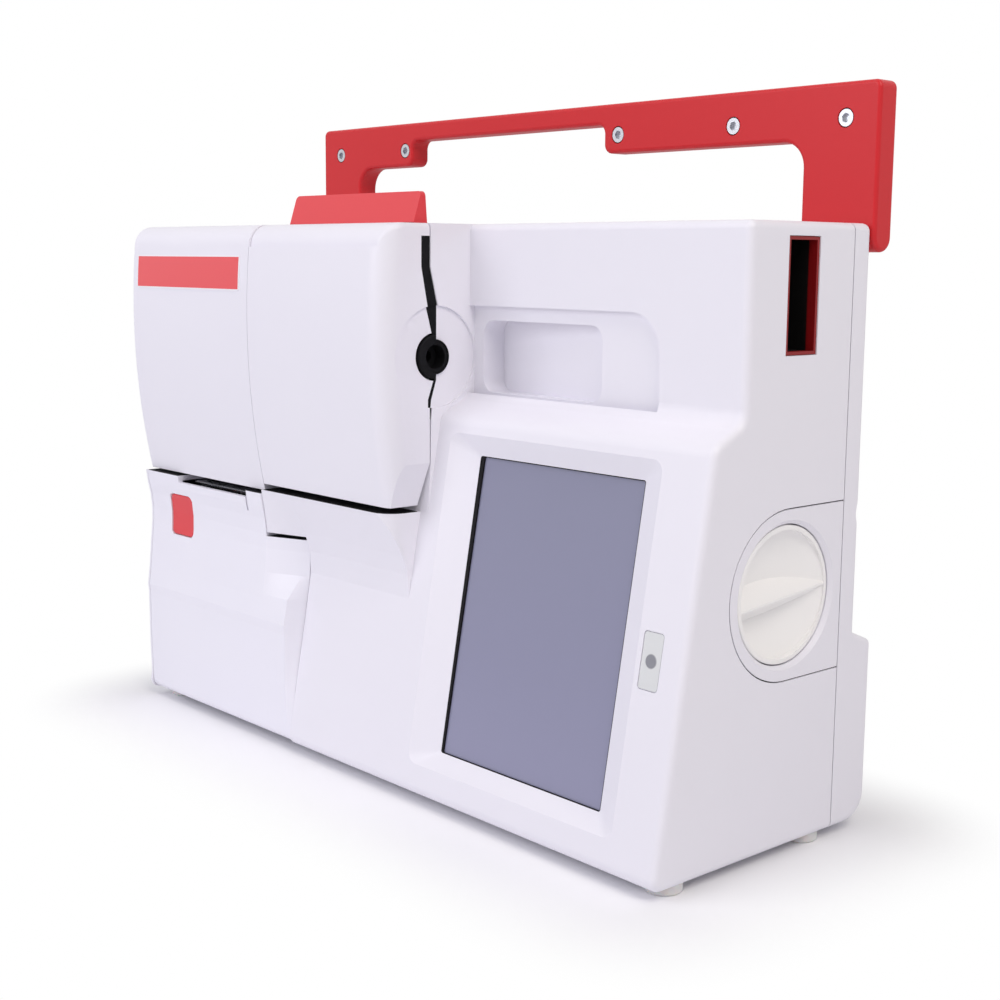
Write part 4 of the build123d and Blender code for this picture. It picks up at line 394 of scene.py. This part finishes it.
rim = add_node(tree, "ShaderNodeMath", {"operation": "MAXIMUM"},
               {0: parts.outputs["X"], 1: parts.outputs["Z"]})
bare = add_node(tree, "ShaderNodeMath", {"operation": "GREATER_THAN"}, {0: rim.outputs[0], 1: 0.0})
ink = add_node(tree, "ShaderNodeMix", {"data_type": "RGBA"},
               {0: bare.outputs[0], 6: linear("#E94B52"), 7: linear("#F3F1F6")})
tree.links.new(ink.outputs[2], shader.inputs["Base Color"])
print("label is", [round(v * 2000, 1) for v in label_reach], "mm")

# %% Status window
sensor_middle = on_slope(159.0, 75.3)
sensor_rim = (2.3 * MM, 2.8 * MM)   # the grey ends over this stretch from its middle
_, tree, shader = start_finish("status_window_acrylic", "window", {
    "IOR": 1.49, "Roughness": 0.18, "Coat Weight": 0.3, "Coat Roughness": 0.05})
place = add_node(tree, "ShaderNodeTexCoord")
away = add_node(tree, "ShaderNodeVectorMath", {"operation": "DISTANCE"},
                {0: place.outputs["Object"], 1: sensor_middle})
spot = add_node(tree, "ShaderNodeMapRange", inputs={
    "Value": away.outputs["Value"], "From Min": sensor_rim[0], "From Max": sensor_rim[1]})
tone = add_node(tree, "ShaderNodeMix", {"data_type": "RGBA"},
                {0: spot.outputs[0], 6: linear("#8C8D95"), 7: linear("#DFE1E2")})
tree.links.new(tone.outputs[2], shader.inputs["Base Color"])
print("sensor at", [round(v * 1000, 1) for v in sensor_middle], "mm")

# %% [markdown]
# ### Metals
#
# The screws and springs are zinc-plated steel: pale, slightly blue and bright. The blocks inside are
# anodised aluminium, more satin. The gas bottle is drawn aluminium, whose die leaves fine lines round it.
# All three are one metal finish with streaks. A Mapping node squeezes the noise in two directions, which
# stretches it along the third, and the streaks show in the gloss more than in the colour.

# %% Metals
def metal(name, slot, colour, rough, squeeze, streak):
    """A bare metal whose streaks, that many millimetres wide, show in its gloss."""
    material, tree, shader = start_finish(name, slot, {"Base Color": linear(colour), "Metallic": 1.0})
    place = add_node(tree, "ShaderNodeTexCoord")
    along = add_node(tree, "ShaderNodeMapping", inputs={"Vector": place.outputs["Object"], "Scale": squeeze})
    lines = add_node(tree, "ShaderNodeTexNoise", inputs={
        "Vector": along.outputs[0], "Scale": per_mm(streak), "Detail": 3.0})
    gloss = add_node(tree, "ShaderNodeMapRange", inputs={
        "Value": lines.outputs[0], "To Min": rough - 0.08, "To Max": rough + 0.08})
    bump = add_node(tree, "ShaderNodeBump", inputs={
        "Height": lines.outputs[0], "Distance": 0.004 * MM, "Strength": 1.0})
    tree.links.new(gloss.outputs[0], shader.inputs["Roughness"])
    tree.links.new(bump.outputs[0], shader.inputs["Normal"])
    return material


zinc = metal("bright_zinc_plated_steel", "steel", "#C6C8CE", 0.28, (1, 1, 1), 1.0)
metal("anodised_aluminium", "aluminium", "#BDBEC4", 0.38, (0.05, 1, 1), 0.6)
metal("drawn_aluminium_bottle", "bottle", "#C9CAD0", 0.32, (1, 0.05, 0.05), 0.5)
print("metals made")

# %% [markdown]
# ### Paper, board and clear windows
#
# A roll of thermal paper is smooth and very white, and its ends show the turns of the roll as fine rings.
# The turns are 0.06 mm apart, and the rings are drawn 0.8 mm apart so that they show. The board's green
# solder mask shines over darker copper, and the small windows in the sample chamber are clear acrylic.

# %% Paper, board and windows
roll_axis = at(0, -27.0, 38.0)
ring_spacing = 0.8 * MM
wave_period = 0.314                 # a wave texture of scale 1 repeats at this distance
_, tree, shader = start_finish("thermal_paper_roll", "paper", {"IOR": 1.45, "Roughness": 0.70})
place = add_node(tree, "ShaderNodeTexCoord")
centred = add_node(tree, "ShaderNodeVectorMath", {"operation": "SUBTRACT"},
                   {0: place.outputs["Object"], 1: roll_axis})
turns = add_node(tree, "ShaderNodeTexWave", {"wave_type": "RINGS", "rings_direction": "X"},
                 {"Vector": centred.outputs[0], "Scale": wave_period / ring_spacing, "Distortion": 0.6})
tone = add_node(tree, "ShaderNodeMix", {"data_type": "RGBA"},
                {0: turns.outputs[0], 6: linear("#E6E6E2"), 7: linear("#F7F7F4")})
tree.links.new(tone.outputs[2], shader.inputs["Base Color"])

_, tree, shader = start_finish("green_solder_mask", "board", {"IOR": 1.52, "Roughness": 0.30})
place = add_node(tree, "ShaderNodeTexCoord")
copper = add_node(tree, "ShaderNodeTexVoronoi", {"feature": "DISTANCE_TO_EDGE"},
                  {"Vector": place.outputs["Object"], "Scale": per_mm(6.0)})
line = add_node(tree, "ShaderNodeMapRange", inputs={
    "Value": copper.outputs[0], "From Min": 0.04, "From Max": 0.06})
tone = add_node(tree, "ShaderNodeMix", {"data_type": "RGBA"},
                {0: line.outputs[0], 6: linear("#2F7A4A"), 7: linear("#1C5A38")})
tree.links.new(tone.outputs[2], shader.inputs["Base Color"])

_, tree, shader = start_finish("clear_acrylic_windows", "clear", {
    "Base Color": linear("#EEF3F5"), "IOR": 1.49, "Transmission Weight": 0.9})
place = add_node(tree, "ShaderNodeTexCoord")
smear = add_node(tree, "ShaderNodeTexNoise", inputs={
    "Vector": place.outputs["Object"], "Scale": per_mm(3.0)})
gloss = add_node(tree, "ShaderNodeMapRange", inputs={
    "Value": smear.outputs[0], "To Min": 0.03, "To Max": 0.1})
tree.links.new(gloss.outputs[0], shader.inputs["Roughness"])
print("materials:", len(bpy.data.materials))

# %% [markdown]
# ## The display's seal and its painted shadow
#
# A thin black rubber strip runs round the touch film where it meets the case, and paints the shadow in that
# gap. On the left it widens towards the top, where the painted shadow is wider. A ring of faces joins an
# outer outline, the opening itself, to an inner one, with a front and a back, so it is a closed solid. Both
# outlines have as many points, which is what lets them be joined one to one.

# %% Seal round the display
def rounded(x0, x1, s0, s1, radius, steps=6):
    """Pairs of numbers round a rounded rectangle, from its lower left corner on."""
    points = []
    for cx, cs, start in ((x0 + radius, s0 + radius, 180), (x1 - radius, s0 + radius, 270),
                          (x1 - radius, s1 - radius, 0), (x0 + radius, s1 - radius, 90)):
        for i in range(steps + 1):
            a = radians(start + 90 * i / steps)
            points.append((cx + radius * cos(a), cs + radius * sin(a)))
    return points


def add_piece(name, points, faces, body, material):
    """A mesh with outward normals that rides on a body."""
    mesh = bpy.data.meshes.new(name)
    mesh.from_pydata(points, [], faces)
    shape = bmesh.new()
    shape.from_mesh(mesh)
    bmesh.ops.recalc_face_normals(shape, faces=shape.faces)
    shape.to_mesh(mesh)
    shape.free()
    mesh.materials.append(material)
    piece = bpy.data.objects.new(name, mesh)
    bpy.context.scene.collection.objects.link(piece)
    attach(piece, body)
    print(name, len(mesh.polygons), "faces")
    return piece


def band(name, outer, inner, place, low, high, body, closed=False):
    """A rubber strip between two lines of as many points, from low to high in the third direction."""
    count = len(outer)
    points = [place(a, b, c) for c in (low, high) for line in (outer, inner) for a, b in line]
    faces = []
    for i in range(count if closed else count - 1):
        j = (i + 1) % count
        for a, b in ((0, count), (count, 3 * count), (3 * count, 2 * count), (2 * count, 0)):
            faces.append((a + i, a + j, b + j, b + i))
    if not closed:
        faces += [(i, count + i, 3 * count + i, 2 * count + i) for i in (0, count - 1)]
    return add_piece(name, points, faces, body, rubber)


glass_x = (50.0, 141.0)
glass_s = (16.0, 138.0)
seal_width = 0.35
# painted shadow: the black strip is wider on the left, and wider still towards the top
shadow_seal_left = (1.2, 2.2)      # its width on the left, at the bottom and at the top
seal_depth = (4.6, 5.28)    # from just behind the opening's edge to the film
seal_corners = (1.0, 0.7)   # corner radius of its outer and its inner outline
outer = rounded(*glass_x, *glass_s, seal_corners[0])
inner = rounded(glass_x[0] + shadow_seal_left[0], glass_x[1] - seal_width, glass_s[0] + seal_width,
                glass_s[1] - seal_width, seal_corners[1])
middle_x = sum(glass_x) / 2
inner = [(x + (shadow_seal_left[1] - shadow_seal_left[0]) * (s - glass_s[0]) / (glass_s[1] - glass_s[0])
          if x < middle_x else x, s) for x, s in inner]
# the black strip round the film paints the shadow in the gap at the opening's edge
band("display_shadow_seal", outer, inner, on_slope, *seal_depth, "root", closed=True)

# %% [markdown]
# ## Painted shade in the seams
#
# Every seam of the case is a crisp black line, although the plastic on both sides of it is white, because
# it lies in deep shade. A black strip sunk in each one paints that shade. The strip under the covers is flat
# on the edge below, thin enough that cover and door swing past it. All strips are bands again: two lines of
# points, and a place for each pair of numbers. They take the rubber's black finish.

# %% Flat strips under the covers
# painted shade: black strips in the gaps under the covers and over the door
corner_x, corner_y, corner_r = 12.0, -47.2, 9.7     # middle and radius of the strip's rounded right corner
cover_painted_shade_z = (118.2, 118.45)
cover_painted_shade_back = -41.2
corner = [(corner_x + corner_r * cos(radians(a)), corner_y + corner_r * sin(radians(a)))
          for a in range(-90, 1, 15)]
cover_line = [(-70.0, -57.0)] + corner
band("cover_foot_painted_shade", cover_line, [(x, cover_painted_shade_back) for x, y in cover_line], at, *cover_painted_shade_z, "root")

door_painted_shade_y = (-58.1, -49.0)
door_painted_shade_z = (116.5, 116.7)
for name, x0, x1 in (("door_top_painted_shade_left", -173.0, -144.5), ("door_top_painted_shade_right", -82.5, -71.2)):
    front, back = ([(x0, y), (x1, y)] for y in door_painted_shade_y)
    band(name, front, back, at, *door_painted_shade_z, "paper_door")

step_line = [(-70.4, -55.0), (-52.4, -48.0), (-49.5, -46.6)]
step_painted_shade_z = (96.6, 96.8)
step_painted_shade_back = -41.9
band("door_step_painted_shade", step_line, [(x, step_painted_shade_back) for x, y in step_line], at, *step_painted_shade_z, "paper_door")

# %% Strips in the rear seam and round the bottle bay
bay_y = 9.1                         # the bottle's axis
bay_z = 101.4
bay_back = 41.2                     # the seam's straight stretches end here
bay_reach = (32.42, 32.08)          # the strip's outer and inner radius about the axis
keyhole_x = (172.4, 174.4)
rear_seam_y = (41.55, 41.95)


def keyhole_line(reach):
    """Points along the bottle bay's outline: back edge, half circle, back edge."""
    arc = [(bay_y + reach * cos(radians(a)), bay_z + reach * sin(radians(a))) for a in range(90, 271, 6)]
    return [(bay_back, bay_z + reach)] + arc + [(bay_back, bay_z - reach)]


# painted shade: black strips in the rear seam and round the bottle bay
band("rear_seam_painted_shade", rounded(-174.5, 174.5, 4.5, 236.0, 3.0), rounded(-173.7, 173.7, 5.3, 235.2, 2.2),
     lambda x, z, y: at(x, y, z), *rear_seam_y, "root", closed=True)
band("keyhole_painted_shade", keyhole_line(bay_reach[0]), keyhole_line(bay_reach[1]),
     lambda y, z, x: at(x, y, z), *keyhole_x, "root")

# %% [markdown]
# ## The screws
#
# Five zinc screws with hex sockets hold the halves of the handle together, and seven smaller ones hold the
# rear cover. One screw, repeated, is a job for Geometry Nodes. The tree fills the space between a circle
# and a hexagon, draws it up into a head, pulls the top's outer rim in for a chamfer, closes the socket and
# adds the shank. Each vertex of a small mesh then gets one copy, turned by a seeded random angle, as
# nobody lines up the sockets of real screws.

# %% A tree that makes screws
screws = bpy.data.node_groups.new("socket_screws", "GeometryNodeTree")
screws.interface.new_socket("Places", in_out="INPUT", socket_type="NodeSocketGeometry")
for name in ("Head Radius", "Head Height", "Socket Radius", "Socket Depth", "Shank Radius", "Shank Length"):
    screws.interface.new_socket(name, in_out="INPUT", socket_type="NodeSocketFloat")
screws.interface.new_socket("Facing", in_out="INPUT", socket_type="NodeSocketVector")
screws.interface.new_socket("Seed", in_out="INPUT", socket_type="NodeSocketInt")
screws.interface.new_socket("Finish", in_out="INPUT", socket_type="NodeSocketMaterial")
screws.interface.new_socket("Screws", in_out="OUTPUT", socket_type="NodeSocketGeometry")
sizes = add_node(screws, "NodeGroupInput").outputs
round_line = add_node(screws, "GeometryNodeCurvePrimitiveCircle", inputs={
    "Resolution": 40, "Radius": sizes["Head Radius"]})
hex_line = add_node(screws, "GeometryNodeCurvePrimitiveCircle", inputs={
    "Resolution": 6, "Radius": sizes["Socket Radius"]})
lines = add_node(screws, "GeometryNodeJoinGeometry", inputs={0: round_line.outputs[0]})
screws.links.new(hex_line.outputs[0], lines.inputs[0])
face = add_node(screws, "GeometryNodeFillCurve", {"mode": "TRIANGLES"}, {0: lines.outputs[0]})
under = add_node(screws, "GeometryNodeFlipFaces", inputs={0: face.outputs[0]})
head = add_node(screws, "GeometryNodeExtrudeMesh", {"mode": "FACES"}, {
    "Mesh": face.outputs[0], "Offset Scale": sizes["Head Height"], "Individual": False})
print("screw inputs:", [socket.name for socket in sizes if socket.name])

# %% Chamfer, socket floor and shank
chamfer_share = 0.9                 # the top's outer rim is drawn in to this share of its radius
where = add_node(screws, "GeometryNodeInputPosition")
outside = add_node(screws, "ShaderNodeVectorMath", {"operation": "MULTIPLY"},
                   {0: where.outputs[0], 1: (1.0, 1.0, 0.0)})
outside = add_node(screws, "ShaderNodeVectorMath", {"operation": "LENGTH"}, {0: outside.outputs[0]})
beyond = add_node(screws, "ShaderNodeMath", {"operation": "MULTIPLY"},
                  {0: sizes["Head Radius"], 1: chamfer_share})
rim = add_node(screws, "ShaderNodeMath", {"operation": "GREATER_THAN"},
               {0: outside.outputs["Value"], 1: beyond.outputs[0]})
rim_top = add_node(screws, "ShaderNodeMath", {"operation": "MULTIPLY"},
                   {0: rim.outputs[0], 1: head.outputs["Top"]})
drawn_in = add_node(screws, "ShaderNodeVectorMath", {"operation": "MULTIPLY"},
                    {0: where.outputs[0], 1: (chamfer_share, chamfer_share, 1.0)})
head = add_node(screws, "GeometryNodeSetPosition", inputs={
    "Geometry": head.outputs["Mesh"], "Selection": rim_top.outputs[0], "Position": drawn_in.outputs[0]})
floor_height = add_node(screws, "ShaderNodeMath", {"operation": "SUBTRACT"},
                        {0: sizes["Head Height"], 1: sizes["Socket Depth"]})
floor_place = add_node(screws, "ShaderNodeCombineXYZ", inputs={"Z": floor_height.outputs[0]})
socket_floor = add_node(screws, "GeometryNodeFillCurve", {"mode": "TRIANGLES"}, {0: hex_line.outputs[0]})
socket_floor = add_node(screws, "GeometryNodeTransform", inputs={
    "Geometry": socket_floor.outputs[0], "Translation": floor_place.outputs[0]})
shank = add_node(screws, "GeometryNodeMeshCylinder", inputs={
    "Vertices": 20, "Radius": sizes["Shank Radius"], "Depth": sizes["Shank Length"]})
half = add_node(screws, "ShaderNodeMath", {"operation": "MULTIPLY"}, {0: sizes["Shank Length"], 1: -0.5})
below = add_node(screws, "ShaderNodeCombineXYZ", inputs={"Z": half.outputs[0]})
shank = add_node(screws, "GeometryNodeTransform", inputs={
    "Geometry": shank.outputs["Mesh"], "Translation": below.outputs[0]})
whole = add_node(screws, "GeometryNodeJoinGeometry", inputs={0: head.outputs[0]})
for part in (under, socket_floor, shank):
    screws.links.new(part.outputs[0], whole.inputs[0])
whole = add_node(screws, "GeometryNodeMergeByDistance", inputs={
    "Geometry": whole.outputs[0], "Distance": 0.00001})
print("nodes so far:", len(screws.nodes))

# %% One copy at each place
angle = add_node(screws, "FunctionNodeRandomValue", {"data_type": "FLOAT"}, {
    2: 0.0, 3: pi / 3, "Seed": sizes["Seed"]})
twist = add_node(screws, "ShaderNodeCombineXYZ", inputs={"Z": angle.outputs[1]})
facing = add_node(screws, "FunctionNodeEulerToRotation", inputs={0: sizes["Facing"]})
copies = add_node(screws, "GeometryNodeInstanceOnPoints", inputs={
    "Points": sizes["Places"], "Instance": whole.outputs[0], "Rotation": facing.outputs[0]})
turned = add_node(screws, "GeometryNodeRotateInstances", inputs={
    "Instances": copies.outputs[0], "Rotation": twist.outputs[0], "Local Space": True})
real = add_node(screws, "GeometryNodeRealizeInstances", inputs={0: turned.outputs[0]})
finished = add_node(screws, "GeometryNodeSetMaterial", inputs={
    "Geometry": real.outputs[0], "Material": sizes["Finish"]})
add_node(screws, "NodeGroupOutput", inputs={0: finished.outputs[0]})
print("tree has", len(screws.nodes), "nodes")

# %% Set the screws in their holes
def set_copies(name, nodes_tree, places, values, body, replaced):
    """One plain steel mesh of a tree's copies, at places in millimetres, in the stead of a solid."""
    mesh = bpy.data.meshes.new(name + "_places")
    mesh.from_pydata([at(*p) for p in places], [], [])
    holder = bpy.data.objects.new(name + "_holder", mesh)
    bpy.context.scene.collection.objects.link(holder)
    modifier = holder.modifiers.new("copies", "NODES")
    modifier.node_group = nodes_tree
    sockets = nodes_tree.interface.items_tree
    inputs = {socket.name: socket.identifier for socket in sockets if socket.in_out == "INPUT"}
    for label, value in values.items():
        modifier[inputs[label]] = value
    ready = holder.evaluated_get(bpy.context.evaluated_depsgraph_get())
    piece = bpy.data.objects.new(name, bpy.data.meshes.new_from_object(ready))
    bpy.data.objects.remove(holder)
    bpy.context.scene.collection.objects.link(piece)
    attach(piece, body)
    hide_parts(replaced)
    print(name, len(piece.data.polygons), "faces")
    return piece


handle_places = [(x, 55.5, 275.7) for x in (-160.4, -106.0, 42.0, 106.0, 160.4)]
set_copies("handle_socket_screws", screws, handle_places, {
    "Head Radius": 3.6 * MM, "Head Height": 2.45 * MM, "Socket Radius": 1.9 * MM, "Socket Depth": 1.65 * MM,
    "Shank Radius": 1.6 * MM, "Shank Length": 7.3 * MM, "Facing": (pi / 2, 0.0, 0.0), "Seed": 4,
    "Finish": zinc}, "handle", "handle_screws")
cover_places = [(x, 45.5, z) for x, z in ((-167.5, 20.0), (-167.5, 128.0), (-166.5, 221.0), (167.5, 20.0),
                                          (167.5, 150.0), (167.5, 181.0), (0.0, 226.0))]
set_copies("cover_socket_screws", screws, cover_places, {
    "Head Radius": 2.8 * MM, "Head Height": 2.0 * MM, "Socket Radius": 1.3 * MM, "Socket Depth": 1.2 * MM,
    "Shank Radius": 1.5 * MM, "Shank Length": 13.0 * MM, "Facing": (-pi / 2, 0.0, 0.0), "Seed": 9,
    "Finish": zinc}, "root", "case_screws")

# %% [markdown]
# ## The latch's spring
#
# A small compression spring under the latch's tail pushes the latch back. It is steel wire wound at an even
# pitch, so its tree is a spiral with a circle swept along it. The solid can't shorten when the latch tips.
# This coil stands for it.

# %% Wind the spring
winding = bpy.data.node_groups.new("coil_spring", "GeometryNodeTree")
winding.interface.new_socket("Places", in_out="INPUT", socket_type="NodeSocketGeometry")
for name in ("Coil Radius", "Coil Height", "Wire Radius", "Turns"):
    winding.interface.new_socket(name, in_out="INPUT", socket_type="NodeSocketFloat")
winding.interface.new_socket("Finish", in_out="INPUT", socket_type="NodeSocketMaterial")
winding.interface.new_socket("Spring", in_out="OUTPUT", socket_type="NodeSocketGeometry")
sizes = add_node(winding, "NodeGroupInput").outputs
spiral = add_node(winding, "GeometryNodeCurveSpiral", inputs={
    "Resolution": 24, "Rotations": sizes["Turns"], "Start Radius": sizes["Coil Radius"],
    "End Radius": sizes["Coil Radius"], "Height": sizes["Coil Height"]})
section = add_node(winding, "GeometryNodeCurvePrimitiveCircle", inputs={
    "Resolution": 10, "Radius": sizes["Wire Radius"]})
wound = add_node(winding, "GeometryNodeCurveToMesh", inputs={
    "Curve": spiral.outputs[0], "Profile Curve": section.outputs[0], "Fill Caps": True})
copies = add_node(winding, "GeometryNodeInstanceOnPoints", inputs={
    "Points": sizes["Places"], "Instance": wound.outputs[0]})
real = add_node(winding, "GeometryNodeRealizeInstances", inputs={0: copies.outputs[0]})
finished = add_node(winding, "GeometryNodeSetMaterial", inputs={
    "Geometry": real.outputs[0], "Material": sizes["Finish"]})
add_node(winding, "NodeGroupOutput", inputs={0: finished.outputs[0]})
print("tree has", len(winding.nodes), "nodes")

# %% Set it on its seat
spring_low, spring_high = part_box("latch_spring")
spring_middle = (spring_low + spring_high) / 2
wire_radius = 0.35
spring_foot = (spring_middle.x / MM, spring_middle.y / MM, spring_low.z / MM + wire_radius)
latch_spring = set_copies("latch_coil_spring", winding, [spring_foot], {
    "Coil Radius": (spring_high.x - spring_low.x) / 2 - wire_radius * MM,
    "Coil Height": spring_high.z - spring_low.z - 2 * wire_radius * MM,
    "Wire Radius": wire_radius * MM, "Turns": 5.0, "Finish": zinc}, "root", "latch_spring")
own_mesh(latch_spring)
